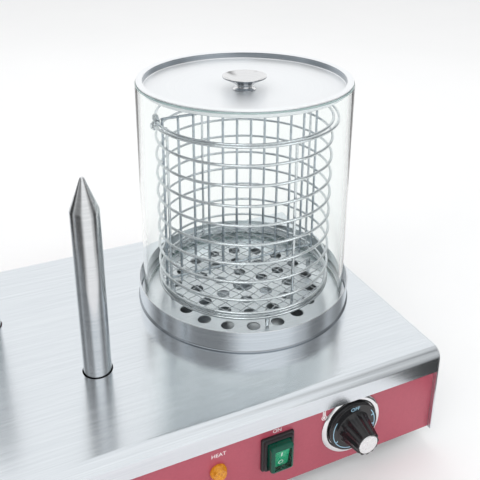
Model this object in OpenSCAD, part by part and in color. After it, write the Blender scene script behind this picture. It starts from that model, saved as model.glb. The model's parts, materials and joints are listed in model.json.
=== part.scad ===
// Hot dog spike toaster: a counter warmer with a glass steam basket and three heated bun spikes.
// Frame: +Z up, the controls face -Y, and the origin is on the table under the middle of the outline.
// The glass, basket and lid share one upright axis near the right end, the spikes stand near the left.

/* [Body] */
// Width of the chassis over its side panels
body_w = 506; // [450:1:600]
// Depth of the chassis over its rolled edges
body_d = 302; // [290:1:340]
// Height of the chassis without its feet
body_h = 89; // [86:1:110]
// Thickness of the stainless sheet
sheet_t = 1.2; // [0.8:0.1:1.6]
// Outside radius of the rolled front and back edges of the top
edge_r = 9.7; // [6:0.1:12]
// Height of the lip that hangs over the front and back panels
lip_h = 23.4; // [20:0.1:25]
// Distance of the coloured panels behind the face of the lip
panel_recess = 4; // [3.8:0.1:6]
// Thickness of the base tray
tray_t = 1.5; // [1:0.1:2]
// Height of the turned-up edges of the base tray
tray_edge_h = 12; // [10:0.5:16]

/* [Feet] */
// Height of a rubber foot
foot_h = 16; // [12:0.5:24]
// Diameter of a foot where it meets the tray
foot_d = 30; // [26:1:36]
// Diameter of a foot on the table
foot_tip_d = 25; // [20:1:26]
// Distance of a foot's axis from the two nearest outer faces
foot_inset = 30; // [26:1:40]

/* [Spikes] */
// Diameter of a bun spike
spike_d = 24; // [20:0.5:26]
// Height of a spike above the top
spike_h = 180; // [150:1:220]
// Height of the pointed end of a spike
cone_h = 28; // [20:1:40]
// Distance from the axis of the nearest spike to the glass
spike_to_glass = 67; // [60:1:80]
// Distance between the front and back rows of spikes
spike_rows = 100; // [80:1:120]
// Distance of the first spike from the left end
spike_margin = 61; // [55:1:64]
// Gap between a spike and its hole in the top
spike_gap = 1; // [0.5:0.1:1.5]
// Diameter of the bore that holds a spike's heater
heater_bore_d = 12.8; // [10:0.1:13]
// Length of a spike's heater
spike_heater_l = 130; // [90:1:134]

/* [Steam pan] */
// Distance of the glass from the right end
glass_margin = 18; // [16:0.5:30]
// Distance of the glass axis behind the middle of the chassis
glass_setback = 13; // [8:0.5:18]
// Gap between the glass and the wall of the pan
pan_gap = 4; // [3:0.1:5]
// Thickness of the pan
pan_t = 1; // [0.8:0.1:1.5]
// Height of the pan's rim above the top
pan_rim_h = 21; // [15:0.5:26]
// Width of the ledge that carries the steam plate
ledge_w = 10; // [8:0.5:12]
// Depth of the water tank under the top
tank_depth = 46; // [40:0.5:50]
// Thickness of the steam plate
plate_t = 1.2; // [0.8:0.1:2]
// Diameter of the steam holes
steam_hole_d = 12.5; // [8:0.1:13]
// Diameter of the middle hole of the steam plate
middle_hole_d = 20; // [14:0.5:24]
// Distance between the rings of steam holes
hole_ring_pitch = 22; // [19:0.5:23]
// Number of rings of steam holes
hole_rings = 3; // [2:1:3]

/* [Glass and lid] */
// Distance from the middle of the basket's wire to the outside of the glass
glass_clear = 17; // [16:0.5:20]
// Wall of the glass cylinder
glass_wall = 4; // [3:0.1:5]
// Height of the glass cylinder
glass_h = 220; // [216:1:260]
// Thickness of the lid sheet
lid_t = 1.4; // [1:0.1:2]
// How far the lid's flange stays inside the glass's outer edge
lid_inset = 1; // [0.5:0.1:2]
// Gap between the lid's well and the glass
well_gap = 1.5; // [1:0.1:2.5]
// Depth of the lid's sunk middle
well_h = 12; // [9:0.5:13]
// Height of the wall round the lid's sunk middle
well_wall_h = 6.5; // [4:0.5:8]
// Diameter of the lid knob's flare
knob_d = 41; // [34:1:46]
// Height of the lid knob
knob_h = 13; // [11:0.5:16]
// Diameter of the lid knob's waist
knob_waist_d = 16; // [14:0.5:18]
// Diameter of the lid knob's base
knob_base_d = 23; // [20:0.5:26]

/* [Basket] */
// Diameter of the basket's hoops, measured between wire centres
hoop_d = 166; // [150:1:180]
// Diameter of the basket's wire
wire_d = 2.6; // [2:0.1:2.8]
// Number of hoops above the basket's base
hoops = 9; // [6:1:9]
// Distance between neighbouring hoops
hoop_pitch = 18.6; // [14:0.1:18.8]
// Distance from the base frame to the lowest hoop
first_hoop = 13.8; // [11:0.1:14]
// Distance between the two base hoops, which hold the floor mesh
base_pair = 5.7; // [5.5:0.1:6.5]
// Length of the basket's feet
basket_foot_h = 17; // [12:0.5:18]
// Diameter of the basket's feet
basket_foot_d = 4; // [3:0.1:5]
// Distance of the basket's feet inside its hoops
basket_foot_inset = 11; // [8:1:15]
// Number of upright wires in the divider
divider_wires = 12; // [8:2:12]
// Diameter of the divider's wires
divider_wire_d = 2.4; // [1.8:0.1:2.5]
// How far the divider stands above the top hoop
divider_rise = 4; // [2:0.1:6]
// Distance between neighbouring wires of the floor mesh
mesh_pitch = 9.5; // [9:0.1:14]
// Thickness of the floor mesh
mesh_t = 2; // [1.2:0.1:2.2]
// Width of a mesh wire
mesh_wire_w = 1.2; // [1:0.1:1.6]

/* [Bail] */
// Gap between the hoops and the folded bail
bail_gap = 2.4; // [2.2:0.1:2.8]
// Diameter of the bail's wire
bail_wire_d = 2.5; // [2:0.1:2.6]
// Radial clearance of the bail's eyes on their pins
eye_gap = 0.35; // [0.3:0.05:0.5]
// Diameter of the keeper's wire
keeper_wire_d = 1.6; // [1.2:0.1:1.8]
// Turns of the keeper round the top hoop
keeper_turns = 4; // [2:1:4]

/* [Controls] */
// Height of the controls' centres above the underside of the chassis
control_h = 38.5; // [36:0.5:42]
// Distance of the thermostat dial from the right end
dial_margin = 89.7; // [80:0.1:100]
// Distance from the dial to the switch
switch_spacing = 72.3; // [60:0.1:80]
// Distance from the switch to the pilot lamp
lamp_spacing = 53; // [40:0.5:70]
// Outside diameter of the chromed ring round the dial
ring_d = 59; // [54:0.5:60]
// Height of the chromed ring
ring_h = 2.6; // [2:0.1:2.7]
// Diameter of the dial's skirt
skirt_d = 48.5; // [44:0.5:49]
// Diameter of the grip at the skirt
grip_d = 31; // [26:0.5:34]
// Diameter of the grip at its free end
grip_tip_d = 22; // [20:0.5:24]
// Distance of the dial's cap from the panel
dial_h = 27.5; // [22:0.5:32]
// Diameter of the dial's shaft
shaft_d = 6; // [5:0.1:6.4]
// Radial clearance of the shaft in the thermostat
shaft_gap = 0.05; // [0.02:0.01:0.1]
// Diameter of the pilot lamp's lens
lens_d = 14.4; // [12:0.1:16]
// Height of the pilot lamp's lens
lens_h = 6; // [4:0.1:8]
// Width of the switch frame
frame_w = 30; // [28:0.5:32]
// Height of the switch frame
frame_h = 33; // [32:0.5:34]
// Width of the rocker
rocker_w = 14.5; // [12:0.1:14.8]
// Height of the rocker
rocker_h = 20; // [16:0.1:20.2]
// Tilt of the rocker each way from level
rocker_tilt = 10; // [6:0.5:10]

/* [Hidden] */

// Smoothness of round solids
$fn = 96;
// Overrun of every cut past the face that it opens
over = 1;
// Gap between faces that rest on each other but belong to pieces that part
seat = 0.1;
// Gap of a screw or stud in its clearance hole
hole_gap = 0.2;
// Gap of a threaded piece in its thread
thread_gap = 0.05;

// Levels, from the table up
tray_top = foot_h + tray_t;
deck_z = foot_h + body_h;
lip_z = deck_z - lip_h;
panel_top = deck_z - edge_r;
ledge_z = deck_z + pan_t;
rim_z = deck_z + pan_rim_h;
tank_z = deck_z - tank_depth;
plate_z = ledge_z + seat;
plate_top = plate_z + plate_t;
glass_z = plate_top + seat;
glass_top = glass_z + glass_h;
lid_z = glass_top + seat;
well_z = lid_z + lid_t - well_h;
well_edge_z = lid_z + lid_t - well_wall_h;
control_z = foot_h + control_h;

// Parts of the cable gland, on the back panel
gland_thread_d = 15.6;
gland_hex_d = 24;
gland_hex_h = 5;
gland_cap_d = 20;
gland_cap_h = 13;
gland_nose_d = 15;
gland_nose_h = 8;
gland_bore_d = 9;
gland_nut_h = 4;
gland_tail = 7;
gland_h = gland_hex_h + gland_cap_h + gland_nose_h;
gland_rise = 26;
gland_z = foot_h + gland_rise;

// Plan of the chassis, with the outline from the dial to the gland centred on the origin
dial_out = dial_h - panel_recess;
gland_out = gland_h - panel_recess;
mid_y = (dial_out - gland_out) / 2;
front_y = mid_y - body_d / 2;
back_y = mid_y + body_d / 2;
panel_y = front_y + panel_recess;
back_panel_y = back_y - panel_recess;
inner_w = body_w - 2 * sheet_t;

// The steamer's axis and radii
glass_d = hoop_d + 2 * glass_clear;
glass_r = glass_d / 2;
glass_x = body_w / 2 - glass_margin - glass_r;
glass_y = mid_y + glass_setback;
pan_r = glass_r + pan_gap + pan_t;
pan_bead = 1.2;
tank_r = pan_r - ledge_w - pan_t;
hole_edge = 0.3;
plate_r = glass_r + pan_gap - 2 * hole_edge;
holes_per_ring = 6;
hole_ring_first = 25;
hole_turn = 13;

// The spikes
spike_x0 = -body_w / 2 + spike_margin;
spike_pitch = (body_w - glass_margin - glass_d - spike_to_glass - spike_margin) / 2;
spike_places = [
    [spike_x0, mid_y - spike_rows / 2],
    [spike_x0 + spike_pitch, mid_y + spike_rows / 2],
    [spike_x0 + 2 * spike_pitch, mid_y - spike_rows / 2]
];
spike_sink = 30;
carrier_t = 3;
carrier_top = deck_z - spike_sink;
carrier_margin = 28;
pillar_d = 10;
pillar_inset = 12;
tip_r = 1.6;
nipple_d = 16;
washer_t = 1.5;
washer_d = 26;
spike_nut_d = 26;
spike_nut_h = 8;
nipple_l = carrier_t + washer_t + spike_nut_h + 2 * sheet_t;
spike_roof = 6;

// The basket, from its base up
hoop_r = hoop_d / 2;
wire_r = wire_d / 2;
weld = 0.4;
base_z = glass_z + basket_foot_h + wire_r;
base2_z = base_z + base_pair;
low_hoop_z = base2_z + first_hoop;
top_hoop_z = low_hoop_z + (hoops - 1) * hoop_pitch;
post_count = 4;
post_turn = 8;
post_r = hoop_r - wire_d + weld;
mesh_z = base_z + wire_r + seat;
mesh_r = hoop_r;
mesh_turn = 23;
divider_r = divider_wire_d / 2;
divider_step = 1;
divider_half = hoop_r - wire_r - divider_r - 3 * seat;
divider_pitch = 2 * divider_half / (divider_wires - 1);
divider_z0 = mesh_z + mesh_t + seat;
divider_z1 = top_hoop_z + divider_rise;
divider_bar_z = base2_z + wire_r + divider_r + divider_step;
foot_turn = 83;
basket_foot_r = hoop_r - basket_foot_inset;

// The bail and its pins
bail_r = bail_wire_d / 2;
bail_arc_r = hoop_r + wire_r + bail_gap + bail_r;
pin_r = wire_r;
pin_head_r = 2 * wire_r;
pin_head_t = 1;
// The eyes are of slightly thicker wire than the arc, the stop hook of slightly thinner
eye_wire_r = bail_r + 0.1;
stop_wire_r = bail_r - 0.15;
eye_mid_r = pin_r + eye_gap + eye_wire_r;
pin_end = bail_arc_r + eye_wire_r + eye_gap + pin_head_t;
// Angle at which the bail's arc meets an eye, counted from the pins
eye_reach = asin(eye_mid_r / bail_arc_r);
// Hook of the bail that rests on the top hoop and stops the bail from dropping
stop_turn = 10;
stop_l = 9;
stop_z = wire_r + stop_wire_r + seat;
stop_line = [[bail_arc_r, 0, 0], [bail_arc_r, 0, stop_z], [bail_arc_r - stop_l, 0, stop_z]];
keeper_r = keeper_wire_d / 2;
keeper_coil_r = wire_r + seat + keeper_r;
keeper_start = 165;
keeper_span = 11;
keeper_rings = 8;
keeper_sides = 6;

// The lid
lid_r = glass_r - lid_inset;
well_r = glass_r - glass_wall - well_gap;
knob_foot_h = 2;
knob_waist_h = 3.6;
knob_lip_h = 1.6;
knob_dish = 4;
knob_steps = 8;
lid_screw_d = 5;
lid_screw_head_d = 9;
lid_screw_head_h = 2.5;
lid_screw_l = 6;
well_flat_r = knob_base_d / 2 + 3.5;

// The controls, across the front panel
dial_x = body_w / 2 - dial_margin;
switch_x = dial_x - switch_spacing;
lamp_x = switch_x - lamp_spacing;
skirt_t = 2.6;
skirt_rise = 3.4;
ring_clear = 0.9;
ring_slope = 1.5;
cap_d = 18;
cap_t = 1.5;
cap_proud = 0.5;
thermo_w = 40;
thermo_h = 36;
thermo_l = 26;
boss_d = 9.4;
boss_l = 2.8;
shaft_l = 16;
shaft_top = 20;
thermo_screw_x = 14;
thermo_screw_d = 3.8;
thermo_screw_head_d = 6.4;
thermo_screw_head_h = 1.6;
thermo_screw_l = 9;
lamp_body_d = 9.8;
lamp_body_l = 20;
lamp_nut_d = 16;
lamp_nut_h = 3;
lens_rim_h = 2;
lens_tip_d = 11;
switch_w = 20.6;
switch_h = 25.6;
switch_l = 24;
switch_gap = 0.2;
frame_t = 5;
window_w = switch_w + 5 * switch_gap;
window_h = switch_h + 5 * switch_gap;
boot_t = 0.8;
boot_h = 12;
boot_r = 2.5;
pivot_depth = 2;
hub_r = 4.5;
hub_gap = 1.5;
rocker_side_gap = 0.3;
rocker_base = 2.5;
rocker_face = 8;
neck_h = 8;
trunnion_r = 1.3;
trunnion_l = 1.7;

// Fixings
screw_d = 4;
screw_head_d = 7.5;
screw_head_h = 2.2;
screw_l = 6;
foot_screw_d = 4.8;
foot_screw_head_d = 9;
foot_screw_head_h = 3.2;
foot_recess_d = 12;
foot_recess_h = 7;
foot_nut_d = 9.2;
foot_nut_h = 4;
foot_screw_up = 6;

// The heater under the tank
heater_ring_r = 58;
heater_tube_r = 4;
heater_gap_turn = 30;
heater_leg_l = 12;
elbow_step = 0.6;
stud_d = 8;
stud_l = 22;
clamp_w = 18;
clamp_l = 150;
clamp_t = 3;
clamp_nut_d = 15;
clamp_nut_h = 6.5;
cutout_d = 16;
cutout_h = 7;
cutout_y = 30;
tab_w = 6.3;
tab_t = 0.8;
tab_l = 8;
bulb_d = 6;
bulb_l = 60;
bulb_y = 30;
capillary_d = 2;
capillary_drop = 8;

// The terminal block and the wiring
block_w = 50;
block_d = 18;
block_h = 16;
block_back = 45;
block_holes = 5;
block_hole_d = 4;
loom_d = 6;
branch_d = 4.8;
lead_d = 3.6;
loom_z = tray_top + loom_d;
loom_set = 14;

// Vents
vent_w = 4;
vent_l = 40;
vent_pitch = 12;
side_vents = 7;
back_vents = 9;
floor_vents = 9;

// Point on a circle of radius r at turn a
function polar(r, a) = [r * cos(a), r * sin(a)];

// Ring-shaped wall standing on z0
module tube(r, wall, z0, z1) {
    translate([0, 0, z0]) difference() {
        cylinder(h = z1 - z0, r = r);
        translate([0, 0, -over]) cylinder(h = z1 - z0 + 2 * over, r = r - wall);
    }
}

// Closed hoop of round wire
module hoop(r, wire, z) {
    translate([0, 0, z]) rotate_extrude() translate([r, 0]) circle(wire, $fn = 32);
}

// Straight round wire from a to b, both along one axis of the frame
module rod(a, b, r) {
    d = b - a;
    turn = d[0] != 0 ? [0, 90, 0] : d[1] != 0 ? [-90, 0, 0] : [0, 0, 0];
    start = d[0] + d[1] + d[2] > 0 ? a : b;
    translate(start) rotate(turn) cylinder(h = norm(d), r = r, $fn = 32);
}

// Run of wire through a list of points, each step along one axis, with round corners
module wire_run(points, r) {
    for (i = [0 : len(points) - 2]) rod(points[i], points[i + 1], r);
    for (i = [1 : len(points) - 2]) translate(points[i]) sphere(r, $fn = 32);
}

// Extrudes a drawing of the Y-Z plane along X
module along_x(x0, w) {
    translate([x0, 0, 0]) rotate([90, 0, 90]) linear_extrude(w) children();
}

// Places children on the front panel, their +Z pointing out of it
module on_front(x) {
    translate([x, panel_y, control_z]) rotate([90, 0, 0]) children();
}

// Places children on the back panel, their +Z pointing out of it
module on_back(x, z) {
    translate([x, back_panel_y, z]) rotate([-90, 0, 0]) children();
}

// Places children on the steamer's axis
module on_steamer() {
    translate([glass_x, glass_y, 0]) children();
}

// Places children on each spike's axis
module at_spikes() {
    for (p = spike_places) translate(p) children();
}

// Places children on each foot's axis
module foot_at(i, j) {
    x = body_w / 2 - foot_inset;
    y = body_d / 2 - foot_inset;
    translate([i * x, mid_y + j * y, 0]) children();
}

module at_feet() {
    for (i = [-1, 1], j = [-1, 1]) foot_at(i, j) children();
}

// End outline of the chassis, moved inwards by inset
module end_outline(inset) {
    r = edge_r - inset;
    y0 = front_y + inset;
    y1 = back_y - inset;
    z1 = deck_z - inset;
    translate([y0, foot_h]) square([y1 - y0, z1 - r - foot_h]);
    translate([y0 + r, foot_h]) square([y1 - y0 - 2 * r, z1 - foot_h]);
    for (y = [y0 + r, y1 - r]) translate([y, z1 - r]) circle(r);
}

// Slot with round ends, lying along local X and cut along local Z
module slot(l, w, deep) {
    for (s = [-1, 1]) translate([s * (l - w) / 2, 0, 0]) cylinder(h = deep, d = w, $fn = 24);
    translate([-(l - w) / 2, -w / 2, 0]) cube([l - w, w, deep]);
}

// Block with its four long edges rounded, from z0 up
module rounded_block(w, h, r, z0, deep) {
    translate([0, 0, z0]) {
        translate([-w / 2, -h / 2 + r, 0]) cube([w, h - 2 * r, deep]);
        translate([-w / 2 + r, -h / 2, 0]) cube([w - 2 * r, h, deep]);
        for (sx = [-1, 1], sy = [-1, 1])
            translate([sx * (w / 2 - r), sy * (h / 2 - r), 0]) cylinder(h = deep, r = r, $fn = 32);
    }
}

// Hexagon nut with a round hole, across corners d, from z0 up
module hex_nut(d, hole, z0, h) {
    translate([0, 0, z0]) difference() {
        cylinder(h = h, d = d, $fn = 6);
        translate([0, 0, -over]) cylinder(h = h + 2 * over, d = hole);
    }
}

// Chassis

module top_cover() color("silver") {
    difference() {
        along_x(-inner_w / 2, inner_w) difference() {
            end_outline(0);
            end_outline(sheet_t);
            translate([front_y - over, foot_h - over])
                square([body_d + 2 * over, lip_z - foot_h + over]);
        }
        on_steamer() translate([0, 0, deck_z - sheet_t - over])
            cylinder(h = sheet_t + 2 * over, r = tank_r + hole_gap);
        at_spikes() translate([0, 0, deck_z - sheet_t - over])
            cylinder(h = sheet_t + 2 * over, r = spike_d / 2 + spike_gap);
    }
}

module case_screw_places() {
    z = foot_h + tray_edge_h / 2 + tray_t / 2;
    for (s = [-1, 1], j = [-1, 1])
        translate([s * body_w / 2, mid_y + j * body_d / 4, z]) rotate([0, s * 90, 0]) children();
    for (s = [-1, 1]) translate([s * body_w / 4, back_panel_y, z]) rotate([-90, 0, 0]) children();
}

module screw_holes() {
    case_screw_places() translate([0, 0, -screw_l - over])
        cylinder(h = screw_l + 2 * over, r = screw_d / 2 + hole_gap / 2, $fn = 32);
}

module side_panel(side) color("silver") {
    difference() {
        along_x(side * (body_w - sheet_t) / 2 - sheet_t / 2, sheet_t) end_outline(0);
        for (i = [0 : side_vents - 1])
            translate([
                side * (body_w / 2 - sheet_t) - over,
                mid_y + (i - (side_vents - 1) / 2) * vent_pitch,
                foot_h + body_h / 2
            ]) rotate([0, 90, 0]) translate([0, 0, side < 0 ? -sheet_t : 0])
                slot(vent_l, vent_w, sheet_t + 2 * over);
        screw_holes();
    }
}

module front_panel() color("firebrick") {
    difference() {
        translate([-inner_w / 2, panel_y, foot_h]) cube([inner_w, sheet_t, panel_top - foot_h]);
        on_front(lamp_x) translate([0, 0, -sheet_t - over])
            cylinder(h = sheet_t + 2 * over, d = lamp_body_d + hole_gap);
        on_front(dial_x) translate([0, 0, -sheet_t - over]) {
            cylinder(h = sheet_t + 2 * over, d = boss_d + hole_gap);
            for (s = [-1, 1]) translate([s * thermo_screw_x, 0, 0])
                cylinder(h = sheet_t + 2 * over, d = thermo_screw_d + hole_gap);
        }
        on_front(switch_x)
            translate([-switch_w / 2 - switch_gap, -switch_h / 2 - switch_gap, -sheet_t - over])
                cube([switch_w + 2 * switch_gap, switch_h + 2 * switch_gap, sheet_t + 2 * over]);
    }
}

module back_panel() color("firebrick") {
    difference() {
        translate([-inner_w / 2, back_panel_y - sheet_t, foot_h])
            cube([inner_w, sheet_t, panel_top - foot_h]);
        on_back(lamp_x, gland_z) translate([0, 0, -sheet_t - over])
            cylinder(h = sheet_t + 2 * over, d = gland_thread_d + hole_gap);
        for (i = [0 : back_vents - 1])
            on_back(body_w / 4 + (i - (back_vents - 1) / 2) * vent_pitch, control_z)
                translate([0, 0, -sheet_t - over]) rotate([0, 0, 90])
                    slot(vent_l / 2, vent_w, sheet_t + 2 * over);
        screw_holes();
    }
}

module base_tray() color("gainsboro") {
    w = inner_w;
    y0 = panel_y + sheet_t;
    d = back_panel_y - panel_y - 2 * sheet_t;
    difference() {
        translate([-w / 2, y0, foot_h]) cube([w, d, tray_edge_h]);
        translate([-w / 2 + tray_t, y0 + tray_t, tray_top])
            cube([w - 2 * tray_t, d - 2 * tray_t, tray_edge_h]);
        at_feet() translate([0, 0, foot_h - over])
            cylinder(h = tray_t + 2 * over, r = foot_screw_d / 2 + hole_gap);
        for (i = [0 : floor_vents - 1])
            translate([glass_x + (i - (floor_vents - 1) / 2) * vent_pitch, glass_y, foot_h - over])
                rotate([0, 0, 90]) slot(2 * vent_l, vent_w, tray_t + 2 * over);
        screw_holes();
    }
}

module foot(i, j) color("dimgray") {
    foot_at(i, j) difference() {
        cylinder(h = foot_h, d1 = foot_tip_d, d2 = foot_d);
        translate([0, 0, -over]) cylinder(h = foot_recess_h + over, d = foot_recess_d);
        cylinder(h = foot_h + over, r = foot_screw_d / 2 + hole_gap);
    }
}

module foot_screws() color("silver") {
    at_feet() translate([0, 0, foot_recess_h]) {
        translate([0, 0, -foot_screw_head_h]) cylinder(h = foot_screw_head_h, d = foot_screw_head_d);
        cylinder(h = tray_top - foot_recess_h + foot_screw_up, d = foot_screw_d);
    }
}

module foot_nuts() color("silver") {
    at_feet() hex_nut(foot_nut_d, foot_screw_d + 2 * thread_gap, tray_top, foot_nut_h);
}

module case_screws() color("silver") {
    case_screw_places() {
        translate([0, 0, -screw_l]) cylinder(h = screw_l, d = screw_d, $fn = 32);
        intersection() {
            cylinder(h = screw_head_h, d = screw_head_d, $fn = 48);
            translate([0, 0, screw_head_h - screw_head_d]) sphere(screw_head_d, $fn = 48);
        }
    }
}

// Bun spikes

module spike(i) color("lightgray") {
    body_top = deck_z + spike_h - cone_h;
    translate(spike_places[i]) difference() {
        union() {
            translate([0, 0, carrier_top]) cylinder(h = body_top - carrier_top, d = spike_d);
            translate([0, 0, body_top]) cylinder(h = cone_h - tip_r, d1 = spike_d, r2 = tip_r);
            translate([0, 0, deck_z + spike_h - tip_r]) sphere(tip_r, $fn = 32);
            translate([0, 0, carrier_top - nipple_l]) cylinder(h = nipple_l + over, d = nipple_d);
        }
        translate([0, 0, carrier_top - nipple_l - over])
            cylinder(h = body_top - spike_roof - carrier_top + nipple_l + over, d = heater_bore_d);
    }
}

module spike_heaters() color("darkgray") {
    at_spikes() translate([0, 0, carrier_top + spike_roof])
        cylinder(h = spike_heater_l, r = heater_bore_d / 2 - hole_gap);
}

module spike_carrier() color("gainsboro") {
    w = 2 * spike_pitch + 2 * carrier_margin;
    d = spike_rows + 2 * carrier_margin;
    difference() {
        translate([spike_x0 - carrier_margin, mid_y - d / 2, carrier_top - carrier_t])
            cube([w, d, carrier_t]);
        at_spikes() translate([0, 0, carrier_top - carrier_t - over])
            cylinder(h = carrier_t + 2 * over, d = nipple_d + 2 * hole_gap);
    }
}

module spike_washers() color("silver") {
    at_spikes() tube(washer_d / 2, (washer_d - nipple_d) / 2 - hole_gap,
        carrier_top - carrier_t - washer_t, carrier_top - carrier_t);
}

module spike_nuts() color("silver") {
    at_spikes() hex_nut(spike_nut_d, nipple_d + 2 * thread_gap,
        carrier_top - carrier_t - washer_t - spike_nut_h, spike_nut_h);
}

module carrier_pillars() color("silver") {
    half_w = spike_pitch + carrier_margin - pillar_inset;
    half_d = spike_rows / 2 + carrier_margin - pillar_inset;
    for (i = [-1, 1], j = [-1, 1])
        translate([spike_x0 + spike_pitch + i * half_w, mid_y + j * half_d, tray_top])
            cylinder(h = carrier_top - carrier_t - tray_top, d = pillar_d, $fn = 6);
}

// Steam pan and its heater

module water_pan() color("silver") {
    on_steamer() {
        tube(pan_r, pan_t, deck_z, rim_z);
        tube(pan_r + pan_bead, pan_bead + ledge_w + 2 * pan_t, deck_z, ledge_z);
        tube(tank_r, pan_t, tank_z, ledge_z);
        translate([0, 0, tank_z]) cylinder(h = pan_t, r = tank_r);
        translate([0, 0, tank_z - stud_l]) cylinder(h = stud_l + pan_t, d = stud_d);
    }
}

module tank_heater() color("dimgray") {
    z = tank_z - seat - heater_tube_r;
    on_steamer() rotate([0, 0, -90 + heater_gap_turn / 2]) {
        translate([0, 0, z]) rotate_extrude(angle = 360 - heater_gap_turn)
            translate([heater_ring_r, 0]) circle(heater_tube_r, $fn = 32);
        for (a = [0, -heater_gap_turn]) rotate([0, 0, a])
            translate([heater_ring_r, 0, z - heater_leg_l])
                cylinder(h = heater_leg_l + heater_tube_r - elbow_step, r = heater_tube_r + elbow_step);
    }
}

module heater_clamp() color("silver") {
    z = tank_z - 2 * heater_tube_r - 2 * seat - clamp_t;
    on_steamer() translate([0, 0, z]) difference() {
        translate([-clamp_l / 2, -clamp_w / 2, 0]) cube([clamp_l, clamp_w, clamp_t]);
        translate([0, 0, -over]) cylinder(h = clamp_t + 2 * over, d = stud_d + 2 * hole_gap);
    }
}

module clamp_nut() color("silver") {
    on_steamer() hex_nut(clamp_nut_d, stud_d + 2 * thread_gap,
        tank_z - 2 * heater_tube_r - 2 * seat - clamp_t - clamp_nut_h, clamp_nut_h);
}

module safety_cutout() color("ivory") {
    on_steamer() translate([0, cutout_y, tank_z - seat - cutout_h]) {
        cylinder(h = cutout_h, d = cutout_d);
        for (s = [-1, 1]) translate([s * cutout_d / 4 - tab_w / 2, -tab_t / 2, -tab_l])
            cube([tab_w, tab_t, tab_l + over]);
    }
}

module thermostat_bulb() color("peru") {
    z = tank_z - seat - bulb_d / 2;
    x1 = dial_x - glass_x;
    y1 = panel_y + sheet_t + thermo_l + seat - glass_y;
    on_steamer() {
        rod([-bulb_l / 2, -bulb_y, z], [bulb_l / 2, -bulb_y, z], bulb_d / 2);
        wire_run([
            [bulb_l / 2, -bulb_y, z], [bulb_l / 2 + bulb_d, -bulb_y, z],
            [bulb_l / 2 + bulb_d, -bulb_y, z - capillary_drop],
            [bulb_l / 2 + bulb_d, y1 + bulb_d, z - capillary_drop],
            [x1, y1 + bulb_d, z - capillary_drop], [x1, y1, z - capillary_drop]
        ], capillary_d / 2);
    }
}

// Controls

module thermostat_body() color("dimgray") {
    on_front(dial_x) difference() {
        union() {
            translate([-thermo_w / 2, -thermo_h / 2, -sheet_t - thermo_l])
                cube([thermo_w, thermo_h, thermo_l]);
            translate([0, 0, -sheet_t - over]) cylinder(h = sheet_t + over + boss_l, d = boss_d);
        }
        translate([0, 0, -shaft_l - over])
            cylinder(h = shaft_l + boss_l + 2 * over, d = shaft_d + 2 * shaft_gap);
        for (s = [-1, 1]) translate([s * thermo_screw_x, 0, -thermo_screw_l - over])
            cylinder(h = thermo_screw_l + over, d = thermo_screw_d + 2 * thread_gap);
    }
}

module thermostat_screws() color("silver") {
    on_front(dial_x) for (s = [-1, 1]) translate([s * thermo_screw_x, 0, 0]) {
        cylinder(h = thermo_screw_head_h, d = thermo_screw_head_d);
        translate([0, 0, -thermo_screw_l]) cylinder(h = thermo_screw_l, d = thermo_screw_d);
    }
}

module dial_ring() color("silver") {
    r = ring_d / 2;
    bore = skirt_d / 2 + ring_clear;
    on_front(dial_x) rotate_extrude() polygon([
        [bore, 0], [r, 0], [r, ring_h - ring_slope], [r - ring_slope, ring_h],
        [bore + ring_slope, ring_h], [bore, ring_h - ring_slope]
    ]);
}

module dial_knob() color("black") {
    top = dial_h - cap_proud;
    on_front(dial_x) difference() {
        union() {
            translate([0, 0, skirt_rise]) cylinder(h = skirt_t, d = skirt_d);
            translate([0, 0, skirt_rise]) cylinder(h = top - skirt_rise, d1 = grip_d, d2 = grip_tip_d);
        }
        translate([0, 0, top - cap_t + cap_proud]) cylinder(h = cap_t + over, d = cap_d + hole_gap);
        translate([0, 0, -over]) cylinder(h = shaft_top + over, d = shaft_d + 2 * shaft_gap);
    }
}

module dial_cap() color("silver") {
    on_front(dial_x) translate([0, 0, dial_h - cap_t]) cylinder(h = cap_t, d = cap_d);
}

module dial_shaft() color("silver") {
    on_front(dial_x) translate([0, 0, -shaft_l]) cylinder(h = shaft_l + shaft_top - seat, d = shaft_d);
}

module pilot_lens() color("orange") {
    on_front(lamp_x) {
        cylinder(h = lens_rim_h, d = lens_d);
        translate([0, 0, lens_rim_h]) cylinder(h = lens_h - lens_rim_h, d1 = lens_d, d2 = lens_tip_d);
    }
}

module pilot_body() color("black") {
    on_front(lamp_x) translate([0, 0, -lamp_body_l]) cylinder(h = lamp_body_l, d = lamp_body_d);
}

module pilot_nut() color("silver") {
    on_front(lamp_x) hex_nut(lamp_nut_d, lamp_body_d + 2 * thread_gap, -sheet_t - lamp_nut_h, lamp_nut_h);
}

module switch_body() color("black") {
    cavity_h = 2 * (hub_r + hub_gap);
    cavity_l = pivot_depth + hub_r + hub_gap;
    cavity_w = rocker_w + 2 * rocker_side_gap;
    on_front(switch_x) difference() {
        translate([-switch_w / 2, -switch_h / 2, -switch_l]) cube([switch_w, switch_h, switch_l]);
        translate([-cavity_w / 2, -cavity_h / 2, -cavity_l]) cube([cavity_w, cavity_h, cavity_l + over]);
        translate([0, 0, -pivot_depth]) rotate([0, 90, 0])
            cylinder(h = rocker_w + 2 * trunnion_l + 2 * rocker_side_gap,
                r = trunnion_r + shaft_gap, center = true, $fn = 32);
    }
}

module switch_rocker() color("green") {
    on_front(switch_x) translate([0, 0, -pivot_depth]) rotate([rocker_tilt, 0, 0]) {
        rotate([0, 90, 0]) cylinder(h = rocker_w, r = hub_r, center = true, $fn = 48);
        rotate([0, 90, 0])
            cylinder(h = rocker_w + 2 * trunnion_l, r = trunnion_r, center = true, $fn = 32);
        translate([-rocker_w / 2, -neck_h / 2, 0]) cube([rocker_w, neck_h, pivot_depth + rocker_base]);
        translate([-rocker_w / 2, -rocker_h / 2, pivot_depth + rocker_base])
            cube([rocker_w, rocker_h, rocker_face - rocker_base]);
    }
}

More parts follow.
